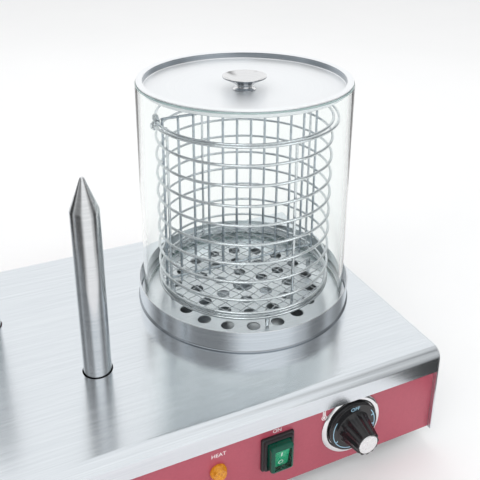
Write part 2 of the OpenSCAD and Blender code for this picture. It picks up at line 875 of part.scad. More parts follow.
module switch_frame() color("black") {
    on_front(switch_x) difference() {
        rounded_block(frame_w, frame_h, boot_r / 2, 0, frame_t);
        translate([-window_w / 2, -window_h / 2, -over]) cube([window_w, window_h, frame_t + 2 * over]);
    }
}

module switch_boot() color("palegreen", 0.5) {
    w = window_w - 2 * switch_gap;
    h = window_h - 2 * switch_gap;
    on_front(switch_x) difference() {
        rounded_block(w, h, boot_r, switch_gap, boot_h - switch_gap);
        rounded_block(w - 2 * boot_t, h - 2 * boot_t, boot_r - boot_t, -over, boot_h - boot_t + over);
    }
}

// Supply and wiring

module terminal_block() color("ivory") {
    step = block_w / block_holes;
    translate([lamp_x, back_y - block_back, tray_top]) difference() {
        translate([-block_w / 2, -block_d / 2, 0]) cube([block_w, block_d, block_h]);
        for (i = [0 : block_holes - 1]) translate([(i - (block_holes - 1) / 2) * step, 0, block_h / 2])
            cylinder(h = block_h, d = block_hole_d, $fn = 24);
    }
}

module cable_gland() color("black") {
    on_back(lamp_x, gland_z) difference() {
        union() {
            translate([0, 0, -gland_tail]) cylinder(h = gland_tail + over, d = gland_thread_d);
            cylinder(h = gland_hex_h, d = gland_hex_d, $fn = 6);
            translate([0, 0, gland_hex_h]) cylinder(h = gland_cap_h, d = gland_cap_d);
            translate([0, 0, gland_hex_h + gland_cap_h])
                cylinder(h = gland_nose_h, d1 = gland_cap_d, d2 = gland_nose_d);
        }
        translate([0, 0, -gland_tail - over])
            cylinder(h = gland_tail + gland_h + 2 * over, d = gland_bore_d);
    }
}

module gland_nut() color("black") {
    on_back(lamp_x, gland_z)
        hex_nut(gland_hex_d, gland_thread_d + 2 * thread_gap, -sheet_t - gland_nut_h, gland_nut_h);
}

module wiring_loom() color("gray") {
    y_block = back_y - block_back - block_d / 2 - seat;
    y_front = panel_y + loom_set;
    leg = polar(heater_ring_r, heater_gap_turn / 2 - 90);
    y_leg = glass_y + leg[1];
    leg_z = tank_z - seat - heater_tube_r - heater_leg_l - seat;
    wire_run([[lamp_x, y_block, loom_z], [lamp_x, y_front, loom_z], [dial_x, y_front, loom_z]], loom_d / 2);
    riser(lamp_x, y_front, control_z - lamp_body_d / 2 - seat);
    riser(switch_x, y_front, control_z - switch_h / 2 - seat);
    riser(dial_x, y_front, control_z - thermo_h / 2 - seat);
    rod([lamp_x, y_leg, loom_z], [glass_x + leg[0] + branch_d / 2, y_leg, loom_z], branch_d / 2);
    for (x = [glass_x - leg[0], glass_x + leg[0]]) riser(x, y_leg, leg_z);
    rod([lamp_x, mid_y, loom_z], [spike_x0 - branch_d / 2, mid_y, loom_z], branch_d / 2);
    for (p = spike_places) {
        rod([p[0], mid_y, loom_z], [p[0], p[1], loom_z], lead_d / 2);
        translate([p[0], p[1], loom_z]) sphere(lead_d / 2, $fn = 32);
        riser(p[0], p[1], carrier_top - nipple_l);
    }
}

// Upright lead from the loom's level to z1
module riser(x, y, z1) {
    rod([x, y, loom_z], [x, y, z1], lead_d / 2);
}

// Steam plate and glass

module steam_plate() color("gainsboro") {
    on_steamer() translate([0, 0, plate_z]) difference() {
        cylinder(h = plate_t, r = plate_r);
        translate([0, 0, -over]) {
            cylinder(h = plate_t + 2 * over, d = middle_hole_d);
            for (k = [1 : hole_rings], i = [0 : k * holes_per_ring - 1])
                rotate([0, 0, hole_turn + i * 360 / (k * holes_per_ring)])
                    translate([hole_ring_first + (k - 1) * hole_ring_pitch, 0, 0])
                        cylinder(h = plate_t + 2 * over, d = steam_hole_d, $fn = 32);
        }
    }
}

module glass_cylinder() color("lightcyan", 0.3) {
    on_steamer() tube(glass_r, glass_wall, glass_z, glass_top);
}

// Basket

module basket_cage() color("silver") {
    on_steamer() {
        hoop(hoop_r, wire_r, base_z);
        hoop(hoop_r, wire_r, base2_z);
        for (k = [0 : hoops - 1]) hoop(hoop_r, wire_r, low_hoop_z + k * hoop_pitch);
        for (i = [0 : post_count - 1]) rotate([0, 0, post_turn + i * 360 / post_count])
            translate([post_r, 0, base_z]) cylinder(h = top_hoop_z - base_z, r = wire_r, $fn = 32);
        for (s = [-1, 1]) {
            rod([s * hoop_r, 0, top_hoop_z], [s * pin_end, 0, top_hoop_z], pin_r);
            rod([s * (pin_end - pin_head_t), 0, top_hoop_z], [s * pin_end, 0, top_hoop_z], pin_head_r);
        }
    }
}

module basket_divider() color("silver") {
    bar_y = divider_wire_d - weld;
    on_steamer() {
        for (i = [0 : divider_wires - 1]) {
            x = (i - (divider_wires - 1) / 2) * divider_pitch;
            rod([x, 0, divider_z0], [x, 0, divider_z1], divider_r);
        }
        for (z = [divider_bar_z, divider_z1])
            rod([-divider_half, bar_y, z], [divider_half, bar_y, z], divider_r);
    }
}

// Drawing of the floor's crossed wires inside a round edge
module mesh_outline() {
    lines = floor(mesh_r / mesh_pitch);
    intersection() {
        circle(mesh_r);
        union() for (turn = [0, 90], i = [-lines : lines])
            rotate([0, 0, mesh_turn + turn])
                translate([-mesh_r, i * mesh_pitch - mesh_wire_w / 2]) square([2 * mesh_r, mesh_wire_w]);
    }
    difference() {
        circle(mesh_r);
        circle(mesh_r - wire_d);
    }
}

module basket_floor() color("silver") {
    on_steamer() translate([0, 0, mesh_z]) linear_extrude(mesh_t) difference() {
        mesh_outline();
        for (i = [0 : post_count - 1]) rotate([0, 0, post_turn + i * 360 / post_count])
            translate([post_r, 0]) circle(wire_r + hole_gap, $fn = 32);
    }
}

module basket_feet() color("dimgray") {
    on_steamer() for (i = [0 : post_count - 1]) rotate([0, 0, foot_turn + i * 360 / post_count])
        translate([basket_foot_r, 0, glass_z])
            cylinder(h = mesh_z - seat - glass_z, d = basket_foot_d, $fn = 32);
}

// Point of the keeper at turn t round the hoop and turn u round the wire, on a circle of radius r
function keeper_point(t, u, r) =
    let (
        a = keeper_start + keeper_span * t / (360 * keeper_turns),
        q = keeper_coil_r + r * cos(u),
        lean = r * sin(u),
        p = polar(hoop_r + q * cos(t), a)
    )
    [p[0] - lean * sin(a), p[1] + lean * cos(a), top_hoop_z + q * sin(t)];

// Wire wound round the top hoop beside the left pin
module bail_keeper() color("silver") {
    steps = keeper_turns * keeper_rings;
    points = [
        for (i = [0 : steps], j = [0 : keeper_sides - 1])
            keeper_point(i * 360 / keeper_rings, -j * 360 / keeper_sides, keeper_r)
    ];
    last = steps * keeper_sides;
    walls = [
        for (i = [0 : steps - 1], j = [0 : keeper_sides - 1])
            let (a = i * keeper_sides + j, b = i * keeper_sides + (j + 1) % keeper_sides)
            each [[a, b, b + keeper_sides], [a, b + keeper_sides, a + keeper_sides]]
    ];
    caps = [
        for (j = [1 : keeper_sides - 2])
            each [[0, j + 1, j], [last, last + j, last + j + 1]]
    ];
    on_steamer() polyhedron(points = points, faces = concat(walls, caps));
}
// Least gap between the keeper's turns, measured on points along the middle of its wire
keeper_line = [for (i = [0 : keeper_turns * keeper_rings]) keeper_point(i * 360 / keeper_rings, 0, 0)];
keeper_gap = min([
    for (i = [0 : len(keeper_line) - 1], j = [i + keeper_rings / 2 : len(keeper_line) - 1])
        norm(keeper_line[i] - keeper_line[j])
]) - keeper_wire_d;
echo(keeper_gap = keeper_gap);

module basket_bail() color("silver") {
    on_steamer() translate([0, 0, top_hoop_z]) {
        rotate([0, 0, 180 + eye_reach]) rotate_extrude(angle = 180 - 2 * eye_reach)
            translate([bail_arc_r, 0]) circle(bail_r, $fn = 32);
        rotate([0, 0, -stop_turn]) wire_run(stop_line, stop_wire_r);
        for (s = [-1, 1]) translate([s * bail_arc_r, 0, 0]) rotate([0, 90, 0])
            rotate_extrude($fn = 48) translate([eye_mid_r, 0]) circle(eye_wire_r, $fn = 32);
    }
}

// Lid

module lid_plate() color("silver") {
    on_steamer() difference() {
        rotate_extrude() polygon([
            [0, well_z - lid_t], [well_flat_r, well_z - lid_t], [well_r, well_edge_z - lid_t],
            [well_r, lid_z], [lid_r, lid_z], [lid_r, lid_z + lid_t], [well_r - lid_t, lid_z + lid_t],
            [well_r - lid_t, well_edge_z], [well_flat_r, well_z], [0, well_z]
        ]);
        translate([0, 0, well_z - lid_t - over])
            cylinder(h = lid_t + 2 * over, d = lid_screw_d + 2 * hole_gap);
    }
}

module lid_knob() color("silver") {
    waist = knob_waist_d / 2;
    flare = knob_d / 2;
    rim_h = knob_h - knob_lip_h;
    neck = [
        for (i = [0 : knob_steps])
            let (a = 90 * i / knob_steps)
            [waist + (flare - waist) * (1 - cos(a)), knob_waist_h + (rim_h - knob_waist_h) * sin(a)]
    ];
    dish = [
        for (i = [0 : knob_steps])
            let (a = 90 * i / knob_steps)
            [(flare - knob_lip_h) * cos(a), knob_h - knob_dish * sin(a)]
    ];
    on_steamer() translate([0, 0, well_z]) difference() {
        rotate_extrude() polygon(concat(
            [[0, 0], [knob_base_d / 2, 0], [knob_base_d / 2, knob_foot_h]], neck,
            [[flare, rim_h + knob_lip_h / 2]], dish
        ));
        translate([0, 0, -over])
            cylinder(h = lid_screw_l + over, d = lid_screw_d + 2 * thread_gap);
    }
}

module lid_screw() color("silver") {
    on_steamer() translate([0, 0, well_z - lid_t]) {
        translate([0, 0, -lid_screw_head_h]) cylinder(h = lid_screw_head_h, d = lid_screw_head_d);
        cylinder(h = lid_t + lid_screw_l - seat, d = lid_screw_d);
    }
}

top_cover();
side_panel(-1);  // left_side_panel
side_panel(1);  // right_side_panel
front_panel();
back_panel();
base_tray();
foot(-1, -1);  // foot_front_left
foot(1, -1);  // foot_front_right
foot(-1, 1);  // foot_back_left
foot(1, 1);  // foot_back_right
foot_screws();
foot_nuts();
case_screws();
spike(0);  // spike_front_left
spike(1);  // spike_back
spike(2);  // spike_front_right
spike_heaters();
spike_nuts();
spike_washers();
spike_carrier();
carrier_pillars();
water_pan();
tank_heater();
heater_clamp();
clamp_nut();
safety_cutout();
thermostat_body();
thermostat_bulb();
thermostat_screws();
dial_ring();
dial_knob();
dial_cap();
dial_shaft();
pilot_lens();
pilot_body();
pilot_nut();
switch_body();
switch_frame();
switch_boot();
switch_rocker();
terminal_block();
cable_gland();
gland_nut();
wiring_loom();
steam_plate();
glass_cylinder();
basket_cage();
basket_divider();
basket_floor();
basket_feet();
bail_keeper();
basket_bail();
lid_plate();
lid_knob();
lid_screw();
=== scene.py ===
# %% [markdown]
# # A hot dog spike toaster
#
# The machine comes as plain solids from a CAD file. This lesson dresses it: each piece that
# shows is made again as a finer surface, or keeps its solid and gets a finish. Sizes are read
# from the solids. Lengths are metres; what is written in millimetres is multiplied by MM.

# %% Load the frame and note its box
import json
import math

import bmesh
import bpy
import numpy as np
from mathutils import Euler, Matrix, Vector


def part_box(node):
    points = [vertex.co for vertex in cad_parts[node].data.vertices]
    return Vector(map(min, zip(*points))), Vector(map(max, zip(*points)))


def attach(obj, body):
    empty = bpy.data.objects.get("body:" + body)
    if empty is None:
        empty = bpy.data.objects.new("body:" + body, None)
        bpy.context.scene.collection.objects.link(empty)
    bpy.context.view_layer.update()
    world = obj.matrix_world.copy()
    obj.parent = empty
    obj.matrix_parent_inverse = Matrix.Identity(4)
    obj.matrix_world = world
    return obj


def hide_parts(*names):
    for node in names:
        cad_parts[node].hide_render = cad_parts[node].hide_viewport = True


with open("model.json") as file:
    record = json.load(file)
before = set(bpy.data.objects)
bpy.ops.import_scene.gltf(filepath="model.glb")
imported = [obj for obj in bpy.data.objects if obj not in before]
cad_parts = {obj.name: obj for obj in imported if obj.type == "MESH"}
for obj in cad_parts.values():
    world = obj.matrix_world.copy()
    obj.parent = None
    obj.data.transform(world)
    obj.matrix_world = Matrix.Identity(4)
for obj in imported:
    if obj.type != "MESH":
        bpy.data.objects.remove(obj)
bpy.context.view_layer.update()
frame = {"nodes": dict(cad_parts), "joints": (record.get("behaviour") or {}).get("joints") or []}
joint_at = {j["name"]: np.array(j["pos_m"]) for j in frame["joints"] if "pos_m" in j}

# %% [markdown]
# ## Sizes of the machine
#
# A maker works from a few datum lines: the deck, the red front panel, the axis of the glass and
# the axes of the controls. Each is read from a solid's box or from a joint.

# %% Datum lines
MM = 0.001


def box_of(node):
    """Lowest and highest corner of a solid as two arrays."""
    low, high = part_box(node)
    return np.array(low), np.array(high)


cover_low, cover_high = box_of("top_cover")
deck_z, lip_z = cover_high[2], cover_low[2]
sheet, edge_r = 1.2 * MM, 9.7 * MM
panel_y = box_of("front_panel")[0][1]
glass_low, glass_high = box_of("glass_cylinder")
axis = (glass_low + glass_high) / 2
glass_r = (glass_high[0] - glass_low[0]) / 2
dial_at, switch_at = joint_at["thermostat_dial"], joint_at["heat_switch"]
lamp_at = sum(box_of("pilot_lens")) / 2
print("deck", deck_z, "panel", panel_y, "axis", axis[:2].round(5), "glass radius", glass_r)

# %% [markdown]
# ## Tools for surfaces
#
# A turned part is a profile carried round an axis, a wire is a circle carried along a path, and
# a moulded part is a stack of outlines. All three are grids of points, so one helper serves.


# %% A grid of points becomes a shape
def grid(points, close_rows=False, close_cols=False, caps=False):
    """Shape of a grid: cell (i, j) is the quad between rows i, i + 1 and columns j, j + 1. A
    closed direction joins its last line to its first. Caps close the first and last row."""
    rows, cols = points.shape[:2]
    i = np.arange(rows if close_rows else rows - 1)[:, None]
    j = np.arange(cols if close_cols else cols - 1)[None, :]
    k, m = (i + 1) % rows, (j + 1) % cols
    quads = np.stack([i * cols + j, k * cols + j, k * cols + m, i * cols + m], -1)
    faces = quads.reshape(-1, 4).tolist()
    if caps:
        last = (rows - 1) * cols
        faces += [list(range(cols)), list(range(last, last + cols))]
    return points.reshape(-1, 3), faces


def join(*shapes):
    """One shape of many: each shape's faces count on from the points before it."""
    starts = np.cumsum([0] + [len(s[0]) for s in shapes[:-1]])
    faces = [[n + int(a) for n in f] for s, a in zip(shapes, starts) for f in s[1]]
    return np.concatenate([s[0] for s in shapes]), faces


# %% A shape becomes a mesh
SAME_SPOT = 0.001 * MM


def make_mesh(name, shape, *changes):
    """Mesh of a shape, after each change has worked on it in turn."""
    mesh = bpy.data.meshes.new(name)
    mesh.from_pydata(shape[0].tolist(), [], shape[1])
    work = bmesh.new()
    work.from_mesh(mesh)
    for change in changes:
        change(work)
    work.to_mesh(mesh)
    work.free()
    return mesh


def merge(work):
    """Joins points that lie in the same spot."""
    bmesh.ops.remove_doubles(work, verts=work.verts, dist=SAME_SPOT)


def turn_outwards(work):
    """Turns each face so that its normal points out of the piece."""
    bmesh.ops.recalc_face_normals(work, faces=work.faces)


def put_in_scene(name, data):
    """A new object in the scene that holds the data."""
    thing = bpy.data.objects.new(name, data)
    bpy.context.scene.collection.objects.link(thing)
    return thing


def as_built(thing):
    """Mesh of an object with all that its settings and modifiers make of it."""
    bpy.context.view_layer.update()
    graph = bpy.context.evaluated_depsgraph_get()
    return bpy.data.meshes.new_from_object(thing.evaluated_get(graph))


# %% A mesh becomes a piece of the machine
def keep_flats(piece):
    """Lets a flat face keep its own shading right up to the small round at its edge."""
    piece.modifiers.new("flats", "WEIGHTED_NORMAL").keep_sharp = True


def place(name, mesh, material, body, nodes=(), smooth=35, edge=0.0):
    """Puts a mesh on its body with its finish and edge; sharp over `smooth` degrees."""
    mesh.shade_smooth()
    mesh.set_sharp_from_angle(angle=math.radians(smooth))
    mesh.materials.clear()
    mesh.materials.append(material)
    piece = put_in_scene(name, mesh)
    if edge:
        bevel = piece.modifiers.new("edge", "BEVEL")
        bevel.width, bevel.segments, bevel.limit_method = edge, 2, "ANGLE"
        bevel.angle_limit = math.radians(smooth)
        keep_flats(piece)
    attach(piece, body)
    if nodes:
        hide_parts(*nodes)
    return piece


def add_piece(name, shape, material, body, nodes=(), smooth=35):
    """Piece of a shape: doubles are merged and faces turned outwards before it is placed."""
    mesh = make_mesh(name, shape, merge, turn_outwards)
    return place(name, mesh, material, body, nodes, smooth)


def second_finish(piece, material, test):
    """Gives a second finish to the faces that pass a test of four arrays: distance from the
    glass's axis, height, the normal's height and number of corners."""
    faces = piece.data.polygons
    at, facing = np.empty((2, len(faces) * 3), np.float32)
    corners = np.empty(len(faces), np.int32)
    for name, values in (("center", at), ("normal", facing), ("loop_total", corners)):
        faces.foreach_get(name, values)
    x, y, z = at.reshape(-1, 3).T
    chosen = test(np.hypot(x - axis[0], y - axis[1]), z, facing[2::3], corners)
    piece.data.materials.append(material)
    faces.foreach_set("material_index", chosen.astype(np.int32))
    print(piece.name, int(chosen.sum()), "of", len(faces), "faces in", material.name)


# %% [markdown]
# ## Turned parts, wires and moulded outlines
#
# A lathe cuts the spikes and the knob; the pan and the lid are spun over a form. A profile with
# its corners eased by a small curve gives the light edge that every real rim has.

# %% Circles, profiles and lathe
TINY = 1e-7


def full_turn(count):
    """Angles of so many equal steps round a circle."""
    return np.linspace(0, 2 * np.pi, count, endpoint=False)


def circle(centre, radius, angle, z):
    """Points (cx + r cos a, cy + r sin a, z), where r, a and z are numbers or arrays."""
    x, y = centre[0] + radius * np.cos(angle), centre[1] + radius * np.sin(angle)
    return np.stack(np.broadcast_arrays(x, y, z), -1)


def soften(corners, ease, steps=5, closed=True):
    """Eases each corner C of a line: the curve (1-t)^2 A + 2t(1-t) C + t^2 B, with A and B
    on the two legs at distance `ease`, or at 45% of a shorter leg."""
    c = np.asarray(corners, float)
    before, after = np.roll(c, 1, 0) - c, np.roll(c, -1, 0) - c
    lb = np.linalg.norm(before, axis=1, keepdims=True)
    la = np.linalg.norm(after, axis=1, keepdims=True)
    d = np.minimum(np.reshape(ease, (-1, 1)), 0.45 * np.minimum(lb, la))
    a, b = c + before / lb * d, c + after / la * d
    t = np.linspace(0, 1, steps)[None, :, None]
    curve = (1 - t) ** 2 * a[:, None] + 2 * t * (1 - t) * c[:, None] + t**2 * b[:, None]
    if not closed:
        curve[0], curve[-1] = c[0], c[-1]
    return curve.reshape(-1, c.shape[1])


def eased_line(corners, ease, steps=5):
    """Open line whose corners are eased by the given millimetres, each by TINY at least."""
    return soften(corners, np.array(ease) * MM + TINY, steps, closed=False)


def lathe(profile, segments, centre=(0, 0), closed=False):
    """Turned surface: each point (r, z) of the profile goes round a circle of radius r."""
    r, z = np.asarray(profile)[:, :1], np.asarray(profile)[:, 1:]
    return grid(circle(centre, r, full_turn(segments), z), close_rows=closed, close_cols=True)


def facing_front(shape, at):
    """Lays a shape that stands on the floor against the panel: its height points out there,
    and its origin lies at the X and Z of `at`."""
    x, y, z = shape[0].T
    return np.stack([at[0] + x, panel_y - z, at[2] + y], -1), shape[1]


# %% Wires
def wire(path, radius, across=(0, 0, 1), sides=12, closed=False):
    """Round wire: at each path point a ring of radius r in the plane square to the path, laid
    out from the direction square to `across`. Open ends finish in half a ball: three rings of
    radius r cos t, moved r sin t along the path."""
    path = np.asarray(path, float)
    if closed:
        step = np.roll(path, -1, 0) - np.roll(path, 1, 0)
    else:
        step = np.gradient(path, axis=0)
    along = step / np.linalg.norm(step, axis=1, keepdims=True)
    side = np.cross(along, np.broadcast_to(across, along.shape))
    side /= np.linalg.norm(side, axis=1, keepdims=True)
    rise = np.cross(side, along)
    width = np.full(len(path), radius, float)
    if not closed:
        t = np.linspace(0, np.pi / 2, 4)[1:, None]
        head = path[:1] - along[:1] * radius * np.sin(t[::-1])
        tail = path[-1:] + along[-1:] * radius * np.sin(t)
        path = np.concatenate([head, path, tail])
        cap = radius * np.cos(t[:, 0])
        width = np.concatenate([cap[::-1], width, cap])
        side, rise = (np.pad(v, ((3, 3), (0, 0)), "edge") for v in (side, rise))
    u = full_turn(sides)[None, :, None]
    ring = np.cos(u) * side[:, None] + np.sin(u) * rise[:, None]
    points = path[:, None] + width[:, None, None] * ring
    return grid(points, close_rows=closed, close_cols=True)


def straight(a, b, radius, sides=12):
    """Straight wire from a to b, its rounded ends kept inside those two points."""
    a, b = np.asarray(a, float), np.asarray(b, float)
    lead = (b - a) / np.linalg.norm(b - a) * radius
    across = (0, 0, 1) if abs(lead[2]) < 0.9 * radius else (1, 0, 0)
    return wire([a + lead, b - lead], radius, across, sides)


# %% Moulded outlines
CORNER_STEPS = 8


def outline(width, height, radius):
    """Rectangle with round corners, as a loop: quarter circles about four centres."""
    t = np.linspace(0, np.pi / 2, CORNER_STEPS)
    turns = (t + np.pi / 2 * np.arange(4)[:, None]).ravel()
    sx = np.repeat([1, -1, -1, 1], CORNER_STEPS) * (width / 2 - radius)
    sy = np.repeat([1, 1, -1, -1], CORNER_STEPS) * (height / 2 - radius)
    return circle((sx, sy), radius, turns, 0)[:, :2]


def stack(levels, closed=False):
    """Moulded body: outlines (width, height, radius, z) in millimetres above each other."""
    loops = [
        np.column_stack([outline(w, h, r), np.full(4 * CORNER_STEPS, z)])
        for w, h, r, z in np.array(levels) * MM
    ]
    return grid(np.array(loops), close_rows=closed, close_cols=True, caps=not closed)


print("tools ready")

# %% [markdown]
# ## Finishes
#
# Stainless sheet is ground with a belt, so it has fine lines along one direction; turned and
# spun parts have them in rings. One helper makes both: noise, stretched a hundred times or more
# along the lines, drives the colour, the roughness and a slight relief, and the relief spreads
# the reflections across the lines.


# %% A finish with a stretched pattern
def feed(tree, socket, value):
    """Gives a socket a value, or a link if the value is a node or another socket."""
    if isinstance(value, bpy.types.Node):
        value = value.outputs[0]
    if isinstance(value, bpy.types.NodeSocket):
        tree.links.new(value, socket)
    else:
        socket.default_value = value


def add_node(tree, kind, operation=None, **inputs):
    """A shader node with its inputs fed; `_` stands for a space in their names."""
    made = tree.nodes.new("ShaderNode" + kind)
    if operation:
        made.operation = operation
    for name, value in inputs.items():
        feed(tree, made.inputs[name.replace("_", " ")], value)
    return made


def finish(name, dark, light, rough, stretch, relief=0.0, centre=None, metal=0.0, **constants):
    """Colour and roughness run between two values by noise on the piece's own coordinates.
    `stretch` is grains per metre, one number or one each for X, Y and Z. With a centre the
    pattern is laid in rings: its coordinates are distance from the axis, zero, and height."""
    material = bpy.data.materials.new(name)
    material.use_nodes = True
    tree = material.node_tree
    place_at = add_node(tree, "TexCoord").outputs["Object"]
    if centre is not None:
        shift = (-centre[0], -centre[1], 0)
        split = add_node(
            tree, "SeparateXYZ", Vector=add_node(tree, "Mapping", Vector=place_at, Location=shift)
        ).outputs
        flat = add_node(tree, "CombineXYZ", X=split["X"], Y=split["Y"])
        out = add_node(tree, "VectorMath", "LENGTH", Vector=flat).outputs["Value"]
        place_at = add_node(tree, "CombineXYZ", X=out, Z=split["Z"])
    grains = stretch if np.ndim(stretch) else (stretch,) * 3
    scale = add_node(tree, "Mapping", Vector=place_at, Scale=grains)
    fine = add_node(tree, "TexNoise", Vector=scale, Scale=1.0, Detail=4.0, Roughness=0.7)
    colour = add_node(tree, "ValToRGB", Fac=fine)
    for stop, position, tint in zip(colour.color_ramp.elements, (0.3, 0.7), (dark, light)):
        stop.position, stop.color = position, (*tint, 1)
    smear = add_node(tree, "MapRange", Value=fine, From_Min=0.25, From_Max=0.75,
                     To_Min=rough[0], To_Max=rough[1])
    constants.update(Base_Color=colour, Roughness=smear, Metallic=metal)
    if relief:
        constants["Normal"] = add_node(tree, "Bump", Height=fine, Strength=0.6, Distance=relief)
    for socket, value in constants.items():
        feed(tree, tree.nodes["Principled BSDF"].inputs[socket.replace("_", " ")], value)
    return material


def steel(*look, **more):
    """A finish that is metal all through."""
    return finish(*look, metal=1.0, **more)


# %% Steel in its ground, turned, spun and bright forms
deck_steel = steel("ground_steel_deck", (0.69, 0.735, 0.775), (0.82, 0.86, 0.895),
                   (0.16, 0.24), (14, 1500, 1500), 1.1e-5)
side_steel = steel("ground_steel_side", (0.66, 0.7, 0.735), (0.8, 0.835, 0.865),
                   (0.24, 0.36), (1600, 14, 1600), 8e-6)
turned_steel = steel("turned_steel", (0.66, 0.68, 0.7), (0.82, 0.835, 0.85),
                     (0.15, 0.26), (8, 8, 2600), 8e-6)
spun_steel = finish("spun_steel", (0.84, 0.865, 0.89), (0.93, 0.95, 0.965),
                    (0.3, 0.42), (1500, 1, 1500), 5e-6, centre=axis, metal=0.55)
pan_steel = steel("spun_pan_steel", (0.7, 0.735, 0.77), (0.85, 0.875, 0.9),
                  (0.13, 0.22), (1300, 1, 1500), 8e-6, centre=axis)
plate_steel = steel("steam_plate_steel", (0.78, 0.82, 0.86), (0.92, 0.945, 0.965),
                    (0.26, 0.4), (12, 1300, 1300), 6e-6)
wire_steel = steel("bright_wire", (0.6, 0.635, 0.66), (0.76, 0.79, 0.815),
                   (0.1, 0.22), 500, 4e-6)
# Painted shade and reflection: this dark steel goes on the lid's well wall, the pan's bead and the
# knob's sides and underside, where the metal looks dark from what it mirrors and the shade it lies
# in.
painted_shade_steel = steel("lid_wall_steel", (0.26, 0.29, 0.32), (0.46, 0.5, 0.54),
                   (0.06, 0.14), (1200, 1, 1500), 4e-6, centre=axis)
upright_wire = steel("dull_wire", (0.4, 0.45, 0.49), (0.58, 0.63, 0.67),
                     (0.14, 0.26), 500, 4e-6)
chrome = steel("chrome_plate", (0.8, 0.81, 0.83), (0.88, 0.89, 0.9), (0.03, 0.08), 90)
bright_turned = steel("bright_turned_aluminium", (0.74, 0.75, 0.765), (0.86, 0.865, 0.87),
                      (0.08, 0.16), (1400, 1, 1400), 5e-6, centre=axis)
satin_disc = steel("satin_disc", (0.78, 0.79, 0.8), (0.9, 0.905, 0.91),
                   (0.22, 0.34), 300, 5e-6)
zinc = steel("zinc_plate", (0.55, 0.56, 0.56), (0.7, 0.71, 0.7), (0.28, 0.45), 300, 8e-6)
tray_steel = steel("galvanised_tray", (0.5, 0.52, 0.54), (0.66, 0.68, 0.69),
                   (0.32, 0.5), 60, 6e-6)
print("steels:", len(bpy.data.materials))

# %% [markdown]
# Painted sheet has a slight orange peel; moulded plastic has a fine grain or a gloss; the glass
# is nearly colourless. It bends light less than real glass does, because the photograph shows
# hardly any dark edges on it.

# %% Paint, plastics, rubber and glass
red_paint = finish("red_enamel", (0.4, 0.06, 0.098), (0.44, 0.074, 0.114),
                   (0.3, 0.42), 420, 1.5e-5, Coat_Weight=0.15, Coat_Roughness=0.2)
black_gloss = finish("black_gloss_plastic", (0.01, 0.01, 0.011), (0.016, 0.016, 0.018),
                     (0.16, 0.26), 700, 6e-6)
black_matt = finish("black_moulded_plastic", (0.014, 0.014, 0.016), (0.026, 0.026, 0.028),
                    (0.38, 0.55), 1200, 1.2e-5)
rubber = finish("black_rubber", (0.022, 0.022, 0.023), (0.04, 0.04, 0.041),
                (0.62, 0.82), 900, 2.5e-5)
green_lit = finish("green_rocker", (0.004, 0.17, 0.085), (0.008, 0.25, 0.125), (0.22, 0.34),
                   250, Emission_Color=(0.0, 0.36, 0.17, 1), Emission_Strength=0.42)
amber = finish("amber_lens", (0.5, 0.13, 0.006), (0.96, 0.46, 0.035), (0.04, 0.12), 420, 6e-6,
               Transmission_Weight=0.3, IOR=1.49, Emission_Color=(1.0, 0.42, 0.02, 1),
               Emission_Strength=0.1)
green_boot = finish("green_silicone", (0.004, 0.085, 0.055), (0.008, 0.14, 0.09),
                    (0.05, 0.12), 60, 4e-6, Transmission_Weight=0.35, IOR=1.41)
boot_window = finish("clear_silicone", (0.9, 0.97, 0.94), (0.95, 0.99, 0.97),
                     (0.0, 0.01), 60, Transmission_Weight=1.0, IOR=1.15)
glass = finish("soda_glass", (0.965, 0.985, 0.978), (0.985, 0.997, 0.992),
               (0.0, 0.012), 6, Transmission_Weight=1.0, IOR=1.12)
glass_edge = finish("glass_cut_edge", (0.26, 0.36, 0.36), (0.42, 0.54, 0.53),
                    (0.05, 0.15), 60, Transmission_Weight=0.45, IOR=1.46)
white_ink = finish("white_ink", (0.86, 0.86, 0.86), (0.92, 0.92, 0.92), (0.4, 0.5), 800)
blue_ink = finish("pale_blue_ink", (0.36, 0.62, 0.8), (0.42, 0.69, 0.86), (0.4, 0.5), 800)
print("with paints and plastics:", len(bpy.data.materials))

# %% Finishes inside the case
brass = steel("brass", (0.6, 0.42, 0.16), (0.74, 0.55, 0.24), (0.22, 0.38), (200, 200, 900))
copper = steel("copper", (0.62, 0.28, 0.16), (0.76, 0.38, 0.24), (0.22, 0.4), (120, 900, 120))
heater_sheath = steel("heater_sheath", (0.1, 0.1, 0.11), (0.19, 0.18, 0.18),
                      (0.35, 0.55), 140, 5e-6)
ceramic = finish("ceramic", (0.68, 0.64, 0.55), (0.78, 0.75, 0.67), (0.3, 0.5), 500, 8e-6)
sleeve = finish("glass_fibre_sleeve", (0.32, 0.31, 0.29), (0.52, 0.51, 0.48),
                (0.6, 0.85), 900, 3e-5)
print("with inner finishes:", len(bpy.data.materials))

# %% [markdown]
# ## The cover
#
# One sheet makes the deck: it is folded over a round bar at the front and the back, and left
# with a lip that hides the top of the red panel. Its surface is a cross-section carried along
# the machine, with the same fold at two radii as its outer and inner lines. The holes for the
# pan and the spikes are cut out afterwards, as a punch would.


# %% Cross-section of the cover
def fold(inset):
    """Line of the fold: up the lip, a quarter circle, across, a quarter circle, and down."""
    r, top = edge_r - inset, deck_z - inset
    front, back = cover_low[1] + inset, cover_high[1] - inset
    t = np.linspace(0, np.pi / 2, 17)
    first = circle((front + r, top - r), r, np.pi - t, 0)[:, :2]
    last = circle((back - r, top - r), r, np.pi / 2 - t, 0)[:, :2]
    span = np.linspace(first[-1], last[0], 40)[1:-1]
    return np.concatenate([[[front, lip_z]], first, span, last, [[back, lip_z]]])


section = np.concatenate([fold(0), fold(sheet)[::-1]])
stations = np.linspace(cover_low[0], cover_high[0], 60)[:, None]
cover_points = np.stack(np.broadcast_arrays(stations, *section.T), -1)
cover = add_piece("cover_sheet", grid(cover_points, close_cols=True, caps=True), deck_steel,
                  "chassis", ["top_cover"])
print("cover section:", len(section), "points")


